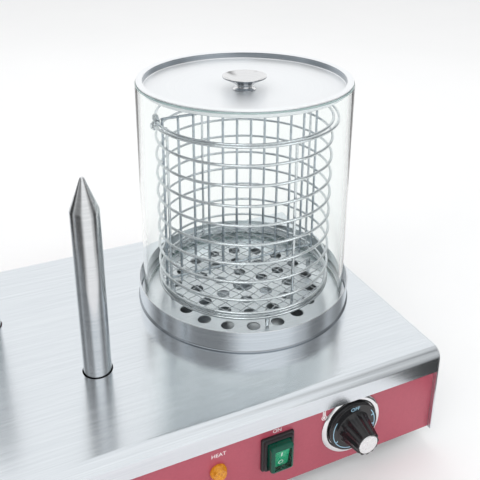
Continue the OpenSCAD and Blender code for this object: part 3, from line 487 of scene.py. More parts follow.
# %% Holes for the pan and the spikes
def cut_round(piece, at, radius):
    """Cuts a round hole in the deck: the piece less an upright cylinder through it."""
    reach = deck_z + np.array([[-5], [5]]) * MM
    shape = grid(circle(at, radius, full_turn(128), reach), close_cols=True, caps=True)
    tool = put_in_scene("cutter", make_mesh("cutter", shape, turn_outwards))
    cut = piece.modifiers.new("cut", "BOOLEAN")
    cut.object, cut.operation, cut.solver = tool, "DIFFERENCE", "EXACT"
    done = as_built(piece)
    piece.modifiers.clear()
    old, piece.data = piece.data, done
    done.name = old.name
    bpy.data.meshes.remove(old)
    bpy.data.objects.remove(tool)


spikes = ["spike_front_left", "spike_back", "spike_front_right"]
spike_at = {n: sum(box_of(n)) / 2 for n in spikes}
spike_r = (box_of(spikes[0])[1][0] - box_of(spikes[0])[0][0]) / 2
tank_r, tank_gap, spike_gap = 94 * MM, 0.2 * MM, 1 * MM
cut_round(cover, axis, tank_r + tank_gap)
for at in spike_at.values():
    cut_round(cover, at, spike_r + spike_gap)
cover.data.set_sharp_from_angle(angle=math.radians(20))
keep_flats(cover)
print("cover:", len(cover.data.polygons), "faces")

# %% [markdown]
# ## Side panels, red panels and the tray
#
# These are flat sheets with punched slots, and their solids have that shape already. A copy of
# each is merged and its corners are rounded by a fifth of a millimetre, because without that a
# sheet's edge never catches the light.


# %% Copies of solids with eased edges
def dissolve_flats(work):
    """Takes out the edges that lie inside a flat face."""
    bmesh.ops.dissolve_limit(
        work, angle_limit=math.radians(0.5), verts=work.verts, edges=work.edges,
        delimit={"NORMAL"}, use_dissolve_boundaries=False,
    )


def eased_copy(node, name, material, slot, body="chassis", edge=0.2 * MM):
    """The solid's own triangles, equal points merged, with small rounded edges."""
    source = frame["nodes"][node].data
    co = np.empty(len(source.vertices) * 3, np.float32)
    source.vertices.foreach_get("co", co)
    corners = np.empty(len(source.loops), np.int32)
    source.loops.foreach_get("vertex_index", corners)
    points, where = np.unique(co.reshape(-1, 3).round(6), axis=0, return_inverse=True)
    faces = where.reshape(-1)[corners].reshape(-1, 3)
    good = (faces != np.roll(faces, 1, axis=1)).all(1)
    mesh = make_mesh(name, (points, faces[good].tolist()), dissolve_flats)
    return place(name, mesh, material, body, [node], edge=edge)


for row in (
    ("left_side_panel", "left_cheek", side_steel, "sheet_steel"),
    ("right_side_panel", "right_cheek", side_steel, "sheet_steel"),
    ("front_panel", "red_front", red_paint, "red_paint"),
    ("back_panel", "red_back", red_paint, "red_paint"),
    ("base_tray", "floor_tray", tray_steel, "tray_steel"),
    ("case_screws", "case_screw_heads", zinc, "fixing_steel"),
    ("foot_screws", "foot_screw_heads", zinc, "fixing_steel"),
):
    made = eased_copy(*row)
    print(made.name, len(made.data.polygons), "faces")

# %% [markdown]
# ## Feet
#
# Moulded rubber feet taper downwards. Their profile runs up the outside and back down the
# sunk hole of the screw, with soft corners.

# %% Rubber feet
sunk_r, screw_r, sunk_h, taper = 6 * MM, 2.6 * MM, 7 * MM, 2.5 * MM
for node in ("foot_front_left", "foot_front_right", "foot_back_left", "foot_back_right"):
    low, high = box_of(node)
    wide, mid = (high[0] - low[0]) / 2, (low + high) / 2
    corners = [(sunk_r, low[2]), (wide - taper, low[2]), (wide, high[2]), (screw_r, high[2]),
               (screw_r, low[2] + sunk_h), (sunk_r, low[2] + sunk_h)]
    profile = soften(corners, np.array([1, 1.6, 0.6, 0.2, 0.2, 0.6]) * MM)
    add_piece(node + "_pad", lathe(profile, 64, mid, closed=True), rubber, "chassis", [node])
print("feet: 4")

# %% [markdown]
# ## Bun spikes
#
# Each spike is a turned bar with a long blunt cone, bored from below for its heater. The
# profile also runs up the bore, so that the piece is a real tube.

# %% Spikes turned on a lathe
bar_low, cone_h, bore_below = 75 * MM, 28 * MM, 6 * MM
nipple_r, bore_r, tip_r, tip_drop = 8 * MM, 6.4 * MM, 1.6 * MM, 0.25 * MM
for n in spikes:
    low, high = box_of(n)
    cone = high[2] - cone_h
    corners = [
        (0, high[2]), (tip_r, high[2] - tip_drop), (spike_r, cone), (spike_r, bar_low),
        (nipple_r, bar_low), (nipple_r, low[2]), (bore_r, low[2]), (bore_r, cone - bore_below),
        (0, cone - bore_below),
    ]
    profile = eased_line(corners, [0, 0.9, 1.4, 0.5, 0.3, 0.4, 0.3, 0.3, 0])
    add_piece(n + "_bar", lathe(profile, 96, spike_at[n]), turned_steel, "chassis", [n],
              smooth=40)
print("spikes:", len(spikes), "radius", spike_r)

# %% [markdown]
# ## Water pan and steam plate
#
# The pan is spun from one disc: a tank, a ledge for the plate, and an upright collar with a
# bead at its foot. Its rim is rolled over, which gives the bright line round the top. The bead
# has a darker finish, which is a painted reflection of the dark side of the room. The plate is a
# flat disc with punched holes, so its solid is kept and its edges are eased.

# %% Pan as one turned profile
pan_low = box_of("water_pan")[0][2]
pan_r, rim_z, ledge_z, tank_z = 105 * MM, 126 * MM, 106 * MM, 59 * MM
bead_r, wall, drain_r = 106.2 * MM, 1 * MM, 4 * MM
corners = [
    (0, pan_low), (drain_r, pan_low), (drain_r, tank_z), (tank_r, tank_z),
    (tank_r, deck_z), (bead_r, deck_z), (bead_r, ledge_z), (pan_r, ledge_z + 0.6 * MM),
    (pan_r, rim_z), (pan_r - wall, rim_z), (pan_r - wall, ledge_z), (tank_r - wall, ledge_z),
    (tank_r - wall, tank_z + wall), (0, tank_z + wall),
]
ease = [0, 0.4, 0.3, 3, 0.3, 0.5, 0.5, 0.6, 0.5, 0.5, 0.8, 0.8, 3, 0]
pan = add_piece("spun_water_pan", lathe(eased_line(corners, ease, 7), 192, axis), pan_steel,
                "chassis", ["water_pan"], smooth=60)
# Painted reflection: the bead below the ledge gets the dark steel, for the dark side of the room
# that it mirrors.
second_finish(pan, painted_shade_steel,
              lambda out, z, up, n: (out > pan_r - 0.2 * MM) & (z < ledge_z + 0.9 * MM))
plate = eased_copy("steam_plate", "punched_plate", plate_steel, "sheet_steel", "steam_plate",
                   0.18 * MM)
print("pan", len(pan.data.polygons), "plate", len(plate.data.polygons))

# %% [markdown]
# ## The glass
#
# A straight tube of soda glass, both rims melted round by a flame. The rims show green, because
# light runs down inside the wall and comes out there. So they have their own tinted finish.

# %% Glass tube with two finishes
glass_wall, rim = 4 * MM, 1.5 * MM
inner_r = glass_r - glass_wall
corners = [(glass_r, glass_low[2]), (glass_r, glass_high[2]), (inner_r, glass_high[2]),
           (inner_r, glass_low[2])]
tube = add_piece("glass_tube", lathe(soften(corners, 1.7 * MM, 9), 192, axis, closed=True),
                 glass, "glass", ["glass_cylinder"], smooth=60)
second_finish(tube, glass_edge,
              lambda out, z, up, n: (z > glass_high[2] - rim) | (z < glass_low[2] + rim))

# %% [markdown]
# ## The basket
#
# Eleven hoops of wire are spot-welded to four posts; a grid of twelve upright wires parts the
# basket in two. At each weld the wires sink into each other and a small flat nugget shows.


# %% Hoops, posts and pins
def basket_piece(name, shape, node, material=wire_steel, body="basket"):
    """A piece of the basket's wirework in the place of one solid."""
    return add_piece(name, shape, material, body, [node], smooth=60)


def ball(centre, size):
    """Flattened ball: half-axes `size` times (cos v cos u, cos v sin u, sin v)."""
    v = np.linspace(-np.pi / 2, np.pi / 2, 5)[:, None]
    unit = circle((0, 0), np.cos(v), full_turn(8), np.sin(v))
    return grid(np.asarray(centre) + unit * np.asarray(size) * MM, close_cols=True)


cage_low, cage_high = box_of("basket_cage")
pin_z = joint_at["bail_swing"][2]
hoop_r, wire_r, post_r = 83 * MM, 1.3 * MM, 80.8 * MM
hoop_pitch, base_pitch = 18.6 * MM, 5.7 * MM
base_z = cage_low[2] + wire_r
hoop_z = np.concatenate([[base_z, base_z + base_pitch], pin_z - hoop_pitch * np.arange(9)[::-1]])
hoops = [wire(circle(axis, hoop_r, full_turn(144), z), wire_r, closed=True) for z in hoop_z]
quarters = 90 * np.arange(4)
post_turns = np.radians(8 + quarters)
post_xy = circle(axis, post_r, post_turns, 0)[:, :2]
posts = [straight((x, y, base_z), (x, y, pin_z), wire_r) for x, y in post_xy]
pin_end = (cage_high[0] - cage_low[0]) / 2
head_r, head_t, head_ease = 2.6 * MM, 1 * MM, 0.3 * MM
head = lathe(soften([(0, 0), (head_r, 0), (head_r, head_t), (0, head_t)],
                    [TINY, head_ease, head_ease, TINY], closed=False), 32)
pins = []
x, y, z = head[0].T
for s in (-1, 1):
    start, end = axis[0] + s * (hoop_r - wire_r), axis[0] + s * pin_end
    pins.append(straight((start, axis[1], pin_z), (end, axis[1], pin_z), wire_r))
    pins.append((np.stack([end + s * (z - head_t), axis[1] + x, pin_z + y], -1), head[1]))
nuggets = [
    ball(circle((x, y), 1.1 * MM, t, z), (1.5, 1.5, 1.2))
    for t, (x, y) in zip(post_turns, post_xy) for z in hoop_z
]
cage = basket_piece("wire_cage", join(*hoops, *posts, *pins, *nuggets), "basket_cage")
print("cage:", len(hoops), "hoops,", len(nuggets), "welds,", len(cage.data.polygons), "faces")

# %% Divider
div_low, div_high = box_of("basket_divider")
div_r, over, under_top = 1.2 * MM, 0.1 * MM, 0.6 * MM
div_x = np.linspace(div_low[0] + div_r, div_high[0] - div_r, 12)
bar_y, spot_y = axis[1] + 2 * MM, axis[1] + 1 * MM
bar_levels = (134.9 * MM, div_high[2] - div_r)
uprights = [straight((x, axis[1], div_low[2]), (x, axis[1], div_high[2] - under_top), div_r)
            for x in div_x]
bars = [straight((div_low[0] + over, bar_y, z), (div_high[0] - over, bar_y, z), div_r)
        for z in bar_levels]
spots = [ball((x, spot_y, z), (1.3, 1.3, 1.1)) for x in div_x for z in bar_levels]
basket_piece("wire_divider", join(*uprights, *bars, *spots), "basket_divider", upright_wire)
print("divider:", len(uprights), "wires")

# %% [markdown]
# ## The woven floor
#
# The floor is crimped wire cloth. Each wire is a cosine wave, over one crossing wire and under
# the next. The two families have opposite signs, so that no wire passes through another.

# %% Woven floor
floor_low, floor_high = box_of("basket_floor")
pitch, weave_turn = 9.5 * MM, math.radians(23)
mesh_r = (floor_high[0] - floor_low[0]) / 2
mid_z = (floor_low[2] + floor_high[2]) / 2
strand_r, wave, rim_r, rim_h = 0.44 * MM, 0.45 * MM, 1.2 * MM, 0.98 * MM
strand_end, steps_per_pitch = 0.8 * MM, 14


def strand(number, family):
    """Wire k of a family: height wave * cos(pi (s / pitch + k)) along its length s."""
    off = number * pitch
    half = math.sqrt(max((mesh_r - strand_end) ** 2 - off**2, 0))
    s = np.linspace(-half, half, max(int(half / pitch * steps_per_pitch), 8))
    z = mid_z + (1 - 2 * family) * wave * np.cos(np.pi * (s / pitch + number))
    angle = weave_turn + family * np.pi / 2
    middle = circle(axis, off, angle + np.pi / 2, 0)
    return wire(circle(middle, s, angle, z), strand_r, sides=8)


lines = int(mesh_r // pitch)
strands = [strand(k, f) for f in (0, 1) for k in range(-lines, lines + 1)]
u = full_turn(12)
floor_rim = circle(axis, mesh_r - rim_r + rim_r * np.cos(u), full_turn(144)[:, None],
                   mid_z + rim_h * np.sin(u))
mesh_floor = basket_piece("woven_floor", join(*strands, grid(floor_rim, True, True)),
                          "basket_floor")
print("floor:", len(strands), "wires,", len(mesh_floor.data.polygons), "faces")

# %% Feet of the basket
feet_low, feet_high = box_of("basket_feet")
stub_ring, stub_r = 72 * MM, 2 * MM
stubs = [straight(*(circle(axis, stub_ring, turn, z) for z in (feet_low[2], feet_high[2])), stub_r)
         for turn in np.radians(83 + quarters)]
basket_piece("basket_stubs", join(*stubs), "basket_feet")
print("stubs:", len(stubs))

# %% [markdown]
# ## Bail and keeper
#
# The bail is the basket's handle: a half hoop with an eye at each end, lying forward. A thin
# wire wound round the top hoop keeps it from sliding: a coil, whose point goes round a small
# circle while the circle's centre walks along the hoop.

# %% Bail with its eyes and hook
bail_r, eye_wire, stop_wire = 1.25 * MM, 1.35 * MM, 1.1 * MM
bail_arc, eye_gap = 87.95 * MM, 0.35 * MM
eye_r = wire_r + eye_gap + eye_wire
reach = math.asin(eye_r / bail_arc)
a = np.linspace(np.pi + reach, 2 * np.pi - reach, 120)
arc = wire(circle(axis, bail_arc, a, pin_z), bail_r)
upright_loops = [circle((axis[1], pin_z), eye_r, full_turn(48), axis[0] + end)[:, [2, 0, 1]]
                 for end in (-bail_arc, bail_arc)]
eyes = [wire(loop, eye_wire, across=(1, 0, 0), closed=True) for loop in upright_loops]
hook_rise, hook_len = wire_r + stop_wire + 0.1 * MM, 7.4 * MM
hook_turn, corner = math.radians(-10), 1.6 * MM
up = np.linspace(0, hook_rise - corner, 4)
bend = np.linspace(0, np.pi / 2, 9)[1:]
inwards = np.linspace(0, hook_len - stop_wire, 6)[1:]
r = np.concatenate([0 * up + corner, corner * np.cos(bend), -inwards])
z = np.concatenate([up - up[-1], corner * np.sin(bend), 0 * inwards + corner])
hook = wire(circle(axis, bail_arc - corner + r, hook_turn, pin_z + up[-1] + z), stop_wire,
            across=circle((0, 0), 1, hook_turn - np.pi / 2, 0))
bail = basket_piece("bail_wire", join(arc, *eyes, hook), "basket_bail", body="bail")

# %% Keeper wound round the top hoop
turns, steps_per_turn, keeper_wire = 4, 28, 0.8 * MM
first_deg, walk_deg = 165, 11
coil_r = wire_r + 0.1 * MM + keeper_wire
t = np.linspace(0, 2 * np.pi * turns, steps_per_turn * turns + 1)
walk = np.radians(first_deg + walk_deg * t / (2 * np.pi * turns))
path = circle(axis, hoop_r + coil_r * np.cos(t), walk, pin_z + coil_r * np.sin(t))
along_hoop = circle((0, 0), 1, walk + np.pi / 2, 0)
basket_piece("wound_keeper", wire(path, keeper_wire, along_hoop, 10), "bail_keeper")
print("keeper:", turns, "turns")

# %% [markdown]
# ## Lid and knob
#
# The lid is spun from sheet: a flat flange lies on the glass, and inside it the sheet drops by a
# short wall, whose darker finish is painted shade and reflection, and slopes to a flat middle.
# The knob is turned: a foot, a waist and a bell with a deep bowl. With s from 0 at the waist to
# 1 at the rim, the bell's height goes as s to the power 0.8; the bowl is a parabola.

# %% Lid
lid_low, lid_high = box_of("lid_plate")
lid_r, lid_t = (lid_high[0] - lid_low[0]) / 2, 1.4 * MM
well_r = inner_r - 1.5 * MM
well_in, flat_r = well_r - lid_t, 15 * MM
low_z, top_z = lid_low[2], lid_high[2]
edge_z = top_z - 6.5 * MM
corners = [
    (0, low_z + lid_t), (flat_r, low_z + lid_t), (well_in, edge_z), (well_in, top_z),
    (lid_r, top_z), (lid_r, top_z - lid_t), (well_r, top_z - lid_t), (well_r, edge_z - lid_t),
    (flat_r, low_z), (0, low_z),
]
profile = eased_line(corners, [0, 6, 1.3, 0.7, 0.6, 0.6, 0.3, 1.3, 6, 0], 9)
lid = add_piece("spun_lid", lathe(profile, 192, axis), spun_steel, "lid", ["lid_plate"],
                smooth=60)
# Painted shade and reflection: the inner face of the well wall gets the dark steel.
second_finish(
    lid, painted_shade_steel, lambda out, z, up, n: (abs(out - well_in) < 0.35 * MM)
    & (z > edge_z + 0.8 * MM) & (z < top_z - 0.6 * MM),
)
print("lid radius", lid_r, "well", well_r)

# %% Knob
knob_low, knob_high = box_of("lid_knob")
foot_r, waist_r, flare_r = 11 * MM, 6.8 * MM, (knob_high[0] - knob_low[0]) / 2
height, lip, dish = knob_high[2] - knob_low[2], 1.2 * MM, 7.6 * MM
waist_z = 3.2 * MM
a = np.linspace(0, np.pi / 2, 25)
share = np.sin(a) ** 2
neck = np.stack([
    waist_r + (flare_r - waist_r) * share,
    waist_z + (height - lip - waist_z) * share**0.8,
], -1)
bowl = np.stack([(flare_r - lip) * np.cos(a), height - dish * np.sin(a) ** 2], -1)
base = eased_line([(0, 0), (foot_r, 0), (foot_r, 0.7 * MM), (waist_r + 0.5 * MM, 2.0 * MM),
                   (waist_r, waist_z)], [0, 0.2, 0.4, 1.2, 0])
lip_arc = circle((flare_r - lip / 2, height - lip / 2), lip / 2, 2 * a - np.pi / 2, 0)[1:-1, :2]
profile = np.concatenate([base, neck[1:-1], lip_arc, bowl]) + (0, knob_low[2])
knob = add_piece("turned_knob", lathe(profile, 128, axis), bright_turned, "lid", ["lid_knob"],
                 smooth=50)
# Painted shade: the knob's faces that look sideways or down get the dark steel.
second_finish(knob, painted_shade_steel, lambda out, z, up, n: up < 0.1)
print("knob flare", flare_r)

# %% [markdown]
# ## The thermostat dial
#
# A chromed bezel surrounds a black moulded dial: a shallow cup, whose face carries the marks, and
# a tapered grip, whose radius swings with the angle to make scallops for the fingers. A satin
# aluminium disc closes it. A thin ledge of the bezel runs in under the cup, so that no red
# panel shows between the two.

# %% Bezel: a closed line of (radius, height)
bezel_line = np.array([(21, 0), (29.5, 0), (29.5, 1.1), (28, 2.6), (25.2, 2.6), (23.9, 1.6),
                       (23.9, 0.3), (21, 0.3)]) * MM
bezel_ease = np.array([0.1, 0.5, 0.5, 0.5, 0.5, 0.3, 0.2, 0.1]) * MM
bezel = lathe(soften(bezel_line, bezel_ease, 6), 144, closed=True)
add_piece("dial_bezel", facing_front(bezel, dial_at), chrome, "chassis", ["dial_ring"],
          smooth=40)

# %% Dial: its line is cut into short steps, so that the scallops are smooth
skirt_top, scallops, scallop_depth = 6 * MM, 12, 0.085
dial_line = np.array([
    (0, 20), (3.05, 20), (3.05, 3.4), (22.1, 3.4), (22.1, 0.5), (23.4, 0.5), (23.4, 6),
    (15.4, 6), (11, 27), (9.1, 27), (9.1, 26), (0, 26),
]) * MM
profile = eased_line(dial_line, [0, 0.2, 0.2, 0.3, 0.2, 0.2, 0.7, 1.2, 0.9, 0.2, 0.2, 0], 6)
rows = []
for a, b in zip(profile[:-1], profile[1:]):
    parts = max(int(np.hypot(*(b - a)) / (1.2 * MM)), 1)
    rows.append(a + (b - a) * np.linspace(0, 1, parts, endpoint=False)[:, None])
points, faces = lathe(np.concatenate(rows + [profile[-1:]]), 240)
x, y, z = points.T
on_grip = np.clip((z - skirt_top - 0.4 * MM) / (2 * MM), 0, 1) * (np.hypot(x, y) > 9.6 * MM)
swing = 0.5 - 0.5 * np.cos(scallops * np.arctan2(y, x))
points[:, :2] *= (1 - scallop_depth * on_grip * swing**0.8)[:, None]
add_piece("dial_grip", facing_front((points, faces), dial_at), black_gloss, "dial",
          ["dial_knob"], smooth=50)

# %% Disc on the grip
disc_line = np.array([(0, 26), (9, 26), (9, 27.2), (8.2, 27.5), (0, 27.4)]) * MM
disc = lathe(eased_line(disc_line, [0, 0.2, 0.2, 0.5, 0]), 96)
add_piece("dial_disc", facing_front(disc, dial_at), satin_disc, "dial", ["dial_cap"],
          smooth=40)
print("dial: bezel, grip, disc")

# %% [markdown]
# ## The pilot lamp
#
# An amber lens is moulded with small prisms, so that it glows evenly. Its top is a plane with
# a hexagonal ripple: the mean of three cosines, at 0, 60 and 120 degrees.

# %% Lens
lens_r, face_z, face_r = 7.2 * MM, 5.6 * MM, 5.5 * MM
ripple_pitch, ripple_h, ribs_round, rib_share = 2.3 * MM, 0.36 * MM, 10, 0.035
side = eased_line([(0, 0), (lens_r, 0), (lens_r, 2 * MM), (face_r, face_z)], [0, 0.2, 0.5, 0])
face = np.linspace((face_r, face_z), (0, face_z), 30)[1:]
points, faces = lathe(np.concatenate([side, face]), 120)
k = 2 * np.pi / ripple_pitch
x, y, z = points.T.copy()
ripple = sum(np.cos(k * (x * c + y * s)) for c, s in ((1, 0), (0.5, 0.866), (-0.5, 0.866))) / 3
level = np.clip((z - 4.5 * MM) / MM, 0, 1)
inside = np.clip((face_r - np.hypot(x, y)) / MM, 0, 1)
points[:, 2] += level * inside * ripple_h * ripple
ribs = np.clip((points[:, 2] - 2.2 * MM) / MM, 0, 1) * (np.hypot(x, y) > face_r - 0.2 * MM)
points[:, :2] *= (1 - rib_share * ribs * abs(np.sin(ribs_round * np.arctan2(y, x))))[:, None]
add_piece("amber_lens", facing_front((points, faces), lamp_at), amber, "chassis",
          ["pilot_lens"], smooth=25)
print("lens:", len(faces), "faces")

# %% [markdown]
# ## The rocker switch
#
# A stepped black frame clips into the panel, a green rocker tilts in it, and a soft boot keeps
# steam out, dark green round its sides and clear over the rocker. All are stacks of rounded
# rectangles; the boot's goes up inside and comes down outside, so that it has a wall. Levels
# are (width, height, corner radius, level) in millimetres.


# %% Frame and boot
def dome(width, depth, radius, low, high, roll):
    """Levels of a cup: straight wall, then a quarter circle of radius `roll` inwards."""
    t = np.linspace(0, np.pi / 2, 7)
    return [(width, depth, radius, low)] + [
        (width - 2 * i, depth - 2 * i, max(radius - 0.5 * i, 0.5), high - roll + rise)
        for i, rise in zip(roll * (1 - np.cos(t)), roll * np.sin(t))
    ]


frame_shape = stack([
    (30, 33, 1.4, 0), (30, 33, 1.4, 1.9), (29.4, 32.4, 1.2, 2.4), (27.2, 30.2, 1.6, 2.7),
    (26.6, 29.6, 1.6, 4.5), (25.8, 28.8, 1.4, 5.0), (22.8, 27.8, 1.2, 5.0),
    (21.7, 26.7, 1.0, 4.3), (21.7, 26.7, 1.0, 0),
], closed=True)
add_piece("switch_bezel", facing_front(frame_shape, switch_at), black_matt, "chassis",
          ["switch_frame"], smooth=30)
inner_levels = dome(19.6, 24.6, 1.7, 0.2, 11.2, 2.2)
outer_levels = dome(21.2, 26.2, 2.5, 0.2, 12.0, 3.0)
boot = add_piece("switch_cover", facing_front(stack(inner_levels[::-1] + outer_levels), switch_at),
                 green_boot, "chassis", ["switch_boot"], smooth=40)
second_finish(boot, boot_window, lambda out, z, up, n: n > 4)

# %% Rocker
tilt, pivot = math.radians(10), 2 * MM


def on_rocker(shape):
    """Turns a shape about the rocker's pivot by its rest tilt: y' = y cos a - z sin a and
    z' = y sin a + z cos a, with z counted from the pivot."""
    x, y, z = shape[0].T
    z = z + pivot
    ahead = y * math.cos(tilt) - z * math.sin(tilt)
    above = y * math.sin(tilt) + z * math.cos(tilt) - pivot
    return facing_front((np.stack([x, ahead, above], -1), shape[1]), switch_at)


def across_rocker(half, radius, sides):
    """Round bar along the rocker's pivot."""
    return straight((-half, 0, -pivot), (half, 0, -pivot), radius, sides)


block = stack([(13.7, 19.2, 0.8, 2.5), (14.5, 20, 1.1, 3.0), (14.5, 20, 1.1, 7.1),
               (14.1, 19.6, 1.0, 7.75), (13.3, 18.8, 0.8, 8.0)])
stem = stack([(14.5, 8, 0.4, -2.0), (14.5, 8, 0.4, 2.6)])
hub, pins = across_rocker(7.25 * MM, 4.4 * MM, 32), across_rocker(8.9 * MM, 1.25 * MM, 24)
add_piece("green_rocker", on_rocker(join(block, stem, hub, pins)), green_lit, "rocker",
          ["switch_rocker"], smooth=35)
print("switch: bezel, cover, rocker")

# %% [markdown]
# ## Marks
#
# HEAT, ON, a thermometer, an index line, and OFF with arcs on the dial are printed in two inks,
# a twentieth of a millimetre thick. Letters start as text and become a mesh.


# %% Letters and signs
def words(text, x, y, out, size=5.2 * MM, ink=0.025 * MM):
    """Shape of a word: its flat outline, thickened, centred on (x, y) at height `out`."""
    curve = bpy.data.curves.new("word", "FONT")
    curve.body, curve.size, curve.extrude = text, size, ink
    curve.align_x, curve.align_y = "CENTER", "CENTER"
    maker = put_in_scene("word", curve)
    mesh = as_built(maker)
    bpy.data.objects.remove(maker)
    points = np.empty(len(mesh.vertices) * 3, np.float32)
    mesh.vertices.foreach_get("co", points)
    faces = [list(p.vertices) for p in mesh.polygons]
    return points.reshape(-1, 3).astype(float) + (x, y, out), faces


def arc_strip(radius, width, start, end, out, count=60):
    """Flat strip along a circle: r from R - w/2 to R + w/2, the angle from start to end, with
    radius and width in millimetres and the angles in degrees."""
    a = np.radians(np.linspace(start, end, count))[:, None]
    r = (radius + width * np.array([-0.5, 0.5, 0.5, -0.5])) * MM
    z = out + 0.05 * MM * np.array([0, 0, 1, 1])
    return grid(circle((0, 0), r, a, z), close_cols=True, caps=True)


def mark(name, shape, ink=white_ink, body="chassis"):
    """A printed mark, already laid on its face."""
    add_piece(name, shape, ink, body, smooth=20)


# %% Marks on the panel
ink_gap = 0.03 * MM
heat_at, on_at = (lamp_at[0] + 0.7 * MM, 0, 70.4 * MM), (switch_at[0], 0, 74.5 * MM)
sign_at = (135.9 * MM, 0, 75.0 * MM)
mark("mark_heat", facing_front(words("HEAT", 0, 0, ink_gap), heat_at))
mark("mark_on", facing_front(words("ON", 0, 0, ink_gap), on_at))
sign_scale = 1.15
bulb = circle((0, -4.2), 1.9, np.radians(np.linspace(118, 422, 26)), 0)
round_top = circle((0, 3.6), 0.9, np.radians(np.linspace(0, 180, 12)), 0)
sign = np.concatenate([bulb, round_top]) * MM * sign_scale
rim_line = wire(sign, 0.36 * MM, sides=6, closed=True)
rim_line[0][:, 2] = 0.08 * MM + rim_line[0][:, 2] * 0.15
dot = lathe(np.array([(0, 0.03), (1.1, 0.03), (1.1, 0.1), (0, 0.1)]) * MM, 24, (0, -4.8 * MM))
column = grid(np.array([[(-0.3, y, 0.03), (0.3, y, 0.03), (0.3, y, 0.1), (-0.3, y, 0.1)]
                        for y in (-4.0, 1.4)]) * MM, close_cols=True, caps=True)
mark("mark_thermometer", facing_front(join(rim_line, dot, column), sign_at))

# %% Marks on the dial, its ring and the rocker
on_skirt = skirt_top + ink_gap
dial_marks = join(
    words("OFF", 0, 19.4 * MM, on_skirt),
    arc_strip(20.8, 0.7, 148, 268, on_skirt), arc_strip(19.6, 2.4, 209, 212, on_skirt, 6),
    arc_strip(20.8, 0.7, -52, 38, on_skirt),
    *[arc_strip(19.4, 2.2, turn, turn + 3, on_skirt, 6) for turn in (-40, -10, 20)],
)
mark("dial_marks", facing_front(dial_marks, dial_at), blue_ink, "dial")
bar, bar_faces = stack([(1.3, 3.4, 0.2, 0), (1.3, 3.4, 0.2, 0.12)])
mark("dial_index", facing_front((bar + np.array((0, 27.35, 2.6)) * MM, bar_faces), dial_at))
one = stack([(0.9, 4.6, 0.2, 8.02), (0.9, 4.6, 0.2, 8.1)])
one[0][:, 1] += 5.0 * MM
nought = arc_strip(2.0, 0.75, 0, 360, 8.02 * MM, 40)
nought[0][:, 1] -= 4.6 * MM
mark("mark_rocker", on_rocker(join(one, nought)), body="rocker")
print("marks: heat, on, off, thermometer, arc, index, rocker signs")

# %% [markdown]
# ## What keeps its solid
#
# The parts under the deck and behind the panel have their true shape already. Plain blocks and
# nuts are copied and eased; the rest keep their solid and only get a finish.

# %% Finishes on the kept solids
for row in (
    ("cable_gland", "gland_body", black_matt, "gland_black"),
    ("gland_nut", "gland_lock_nut", black_matt, "gland_black"),
    ("foot_nuts", "foot_lock_nuts", zinc, "fixing_steel"),
    ("spike_nuts", "spike_lock_nuts", brass, "fixing_steel"),
    ("spike_washers", "spike_rings", zinc, "fixing_steel"),
    ("spike_carrier", "spike_bridge", tray_steel, "tray_steel"),
    ("heater_clamp", "clamp_bar", zinc, "fixing_steel"),
    ("clamp_nut", "clamp_lock_nut", zinc, "fixing_steel"),
    ("terminal_block", "lead_block", ceramic, "block_ivory"),
    ("thermostat_body", "thermostat_case", black_matt, "moulded_black"),
    ("switch_body", "switch_case", black_matt, "moulded_black"),
):
    eased_copy(*row)

for node, material in {
    "spike_heaters": heater_sheath, "carrier_pillars": zinc, "tank_heater": heater_sheath,
    "safety_cutout": ceramic, "thermostat_screws": zinc, "dial_shaft": zinc,
    "pilot_body": black_matt, "pilot_nut": zinc, "lid_screw": zinc,
}.items():
    for holder in frame["nodes"][node].material_slots:
        holder.material = material
print("kept solids finished")

# %% [markdown]
# ## Wiring and capillary
#
# The leads run in a sleeved trunk along the tray and rise to each terminal. The thermostat feels
# the tank with a copper bulb, whose thin tube bends down and forward to the body. Both are wires
# along eased lines, whose ends come from the boxes of the parts they join.

# %% Loom
gap = 0.1 * MM
loom_low, loom_high = box_of("wiring_loom")
trunk_r, branch_r, lead_r = 3 * MM, 2.4 * MM, 1.8 * MM
loom_z, loom_front = loom_low[2] + trunk_r, loom_low[1] + trunk_r
lamp_x, dial_x = lamp_at[0], dial_at[0]
middle_y = sum(box_of("spike_carrier"))[1] / 2
leg_out = circle((0, 0), 58 * MM, math.radians(-75), 0)
leg_y, leg_top = axis[1] + leg_out[1], box_of("tank_heater")[0][2] - gap
trunk = soften(
    [(lamp_x, loom_high[1], loom_z), (lamp_x, loom_front, loom_z), (dial_x, loom_front, loom_z)],
    [TINY, 3 * MM, TINY], steps=9, closed=False)
runs = [wire(trunk, trunk_r)]


def run(a, b, radius):
    """Adds one straight lead from a to b to the loom."""
    runs.append(straight(a, b, radius, 16))


for x, part in ((lamp_x, "pilot_body"), (switch_at[0], "switch_body"),
                (dial_x, "thermostat_body")):
    run((x, loom_front, loom_z), (x, loom_front, box_of(part)[0][2] - gap), lead_r)
for x in (axis[0] - leg_out[0], axis[0] + leg_out[0]):
    run((x, leg_y, loom_z), (x, leg_y, leg_top), lead_r)
run((lamp_x, leg_y, loom_z), (axis[0] + leg_out[0] + branch_r, leg_y, loom_z), branch_r)
run((lamp_x, middle_y, loom_z), (loom_low[0], middle_y, loom_z), branch_r)
for x, y, _ in spike_at.values():
    step_out = math.copysign(lead_r, y - middle_y)
    run((x, middle_y, loom_z), (x, y + step_out, loom_z), lead_r)
    run((x, y, loom_z), (x, y, loom_high[2]), lead_r)
loom = add_piece("sleeved_loom", join(*runs), sleeve, "chassis", ["wiring_loom"], smooth=60)
print("loom:", len(runs), "runs,", len(loom.data.polygons), "faces")

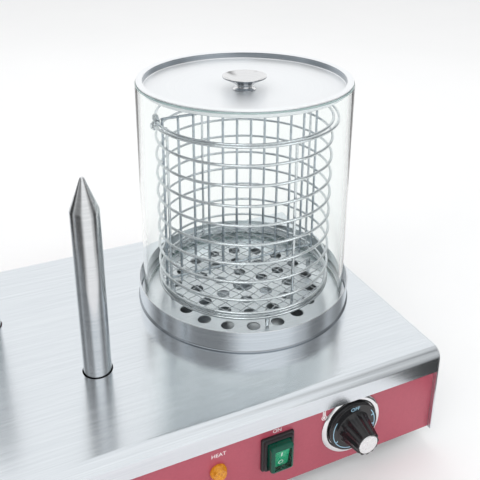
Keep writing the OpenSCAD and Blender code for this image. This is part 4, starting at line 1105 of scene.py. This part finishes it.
# %% Bulb and capillary
bulb_low, bulb_high = box_of("thermostat_bulb")
bulb_r, tube_r, bulb_len, tube_bend = 3 * MM, 1 * MM, 60 * MM, 2 * MM
bulb_x, tube_x = bulb_low[0], bulb_high[0] - tube_r
bulb_y, tube_y = bulb_high[1] - bulb_r, bulb_low[1] + 6 * MM
bulb_z, tube_z = bulb_high[2] - bulb_r, bulb_low[2] + tube_r
line = soften([
    (bulb_x + 54 * MM, bulb_y, bulb_z), (tube_x, bulb_y, bulb_z), (tube_x, bulb_y, tube_z),
    (tube_x, tube_y, tube_z), (dial_x, tube_y, tube_z), (dial_x, bulb_low[1], tube_z),
], [TINY, *[tube_bend] * 4, TINY], steps=9, closed=False)
phial = straight((bulb_x, bulb_y, bulb_z), (bulb_x + bulb_len, bulb_y, bulb_z), bulb_r, 24)
add_piece("copper_bulb", join(phial, wire(line[:-3], tube_r, across=(1, 1, 1))), copper,
          "chassis", ["thermostat_bulb"], smooth=60)
print("capillary:", len(line), "points")

# %% [markdown]
# ## Floor, light and reflections
#
# The photograph was taken in a white studio. The floor is pale and takes a soft shadow. The
# world is white to the camera and through glass, and dimmer as a light, so that soft lamps can
# model the shapes. Bright metal mirrors what stands round it: white paper, and a dark room with
# one tall bright window behind the camera. The world looks so to rays that left a mirror, and a
# ring of cards, which only reflections see, does the same for rays that go down to the table.

# %% Tones of the room, by the turn from the camera's side
tones = np.array([
    (-180, 1.0), (-124, 1.0), (-114, 0.5), (-102, 0.05), (-80, 0.03), (-70, 0.5), (-60, 0.26),
    (-46, 0.12), (-18, 0.1), (-8, 0.5), (2, 1.0), (52, 1.0), (60, 0.62), (72, 0.45), (79, 0.05),
    (96, 0.05), (104, 0.55), (120, 0.16), (136, 0.16), (146, 1.0), (180, 1.0),
])
camera_side = (-0.46, -0.888)
view_turn = math.degrees(math.atan2(camera_side[1], camera_side[0]))
print("tones:", len(tones), "from", tones[:, 1].min(), "to", tones[:, 1].max())

# %% Floor
floor_x, floor_y = np.meshgrid(*[np.linspace(-4, 4, 9)] * 2)
mesh = make_mesh("studio_floor", grid(np.stack([floor_x, floor_y, 0 * floor_x], -1)))
mesh.materials.append(finish("pale_floor", (0.935, 0.94, 0.945), (0.955, 0.958, 0.962),
                             (0.7, 0.8), 2))
put_in_scene("studio_floor", mesh)
print("floor ready")

# %% World: sums of the ray's kind and direction
overhead_from, overhead_full, haze_tone, lamp_tone = 0.62, 0.9, 0.18, 0.88
world = bpy.context.scene.world or bpy.data.worlds.new("studio")
bpy.context.scene.world = world
world.use_nodes = True
tree = world.node_tree
tree.nodes.clear()


def maths(operation, a, b=0.0):
    """One sum of two numbers or outputs in the world's node tree."""
    made = add_node(tree, "Math", operation)
    for socket, value in zip(made.inputs, (a, b)):
        feed(tree, socket, value)
    return made


heading = add_node(tree, "SeparateXYZ", Vector=add_node(tree, "TexCoord").outputs["Generated"])
heading = heading.outputs
turn = maths("DIVIDE", maths("ARCTAN2", heading["Y"], heading["X"]), 2 * math.pi)
turn = maths("FRACT", maths("SUBTRACT", turn, view_turn / 360 - 0.5))
ramp = add_node(tree, "ValToRGB", Fac=turn)
stops = ramp.color_ramp.elements
for angle, tone in tones[1:-1]:
    stops.new(angle / 360 + 0.5).color = (tone, tone, tone, 1)
stops[0].color = stops[len(stops) - 1].color = (*[tones[0][1]] * 3, 1)
overhead = add_node(tree, "MapRange", Value=heading["Z"], From_Min=overhead_from,
                    From_Max=overhead_full)
haze = maths("ADD", maths("MULTIPLY", ramp, 1 - haze_tone), haze_tone)
room = maths("MAXIMUM", haze, overhead)
rays = add_node(tree, "LightPath").outputs
mirrored = maths("GREATER_THAN", rays["Glossy Depth"], 0.5)
seen = maths("MAXIMUM", rays["Is Camera Ray"], rays["Is Transmission Ray"])
plain = maths("ADD", maths("MULTIPLY", seen, 1 - lamp_tone), lamp_tone)
lit = maths("MULTIPLY", mirrored, maths("SUBTRACT", 1.0, rays["Is Diffuse Ray"]))
level = maths("ADD", maths("MULTIPLY", lit, room),
              maths("MULTIPLY", maths("SUBTRACT", 1.0, lit), plain))
sky = add_node(tree, "Background", Color=(1.0, 1.0, 1.0, 1), Strength=level)
add_node(tree, "OutputWorld", Surface=sky)
print("world ready:", len(stops), "tones")

# %% Cards that only reflections see: a dish of (radius, height), its tone by the angle
turns_deg = np.arange(-180, 180, 1.0)
tone = np.interp(turns_deg, tones[:, 0], tones[:, 1])
line = np.array([(0.36, 0.002), (0.9, 0.002), (1.5, 0.002), (1.7, 0.05), (1.75, 0.4)])
dish = circle((0, 0), line[:, :1], np.radians(turns_deg + view_turn), line[:, 1:])
mesh = make_mesh("cards", grid(dish, close_cols=True))
shade = mesh.attributes.new("tone", "FLOAT", "POINT")
shade.data.foreach_set("value", np.tile(tone, len(line)).astype(np.float32))
card_paper = bpy.data.materials.new("card_paper")
card_paper.use_nodes = True
tree = card_paper.node_tree
tree.nodes.clear()
read = add_node(tree, "Attribute")
read.attribute_name = "tone"
glow = add_node(tree, "Emission", Strength=read.outputs["Fac"])
add_node(tree, "OutputMaterial", Surface=glow)
mesh.materials.append(card_paper)
cards = put_in_scene("cards", mesh)
cards.visible_camera = cards.visible_diffuse = False
cards.visible_transmission = cards.visible_shadow = False
print("cards:", len(mesh.polygons), "faces")

# %% Lamps
for name, spot, size, power in (
    ("key", (-1.1, -1.3, 1.9), 1.3, 11.0),
    ("fill", (1.3, -1.5, 1.1), 1.1, 5.5),
    ("top", (0.2, 0.9, 2.2), 1.6, 5.5),
):
    lamp = bpy.data.lights.new(name, "AREA")
    lamp.shape, lamp.size, lamp.energy = "SQUARE", size, power
    holder = put_in_scene(name, lamp)
    holder.location = spot
    holder.visible_glossy = False
    aim = Vector((0, 0, 0.12)) - Vector(spot)
    holder.rotation_euler = aim.to_track_quat("-Z", "Y").to_euler()
print("lamps: key, fill, top")

# %% [markdown]
# ## Camera
#
# The photograph looks down at the machine from the front left, along the line of the spike
# and the dial. Its place, turn and lens were fitted to the rings of the glass, pan, lid and
# basket.

# %% Camera
eye = bpy.data.cameras.new("camera")
eye.sensor_width, eye.lens = 36, 50.59
eye.shift_x, eye.shift_y = 0.02, -0.22
eye.clip_start, eye.clip_end = 0.01, 50
camera = put_in_scene("camera", eye)
camera.location = (axis[0] - 0.25637, axis[1] - 0.53797, rim_z + 0.3705)
camera.rotation_euler = Euler((1.2106, 0, -0.4231))
bpy.context.scene.camera = camera
bpy.context.scene.view_settings.view_transform = "Standard"
print("camera at", tuple(round(v, 4) for v in camera.location))

# %% Bring the scene up to date
bpy.context.view_layer.update()
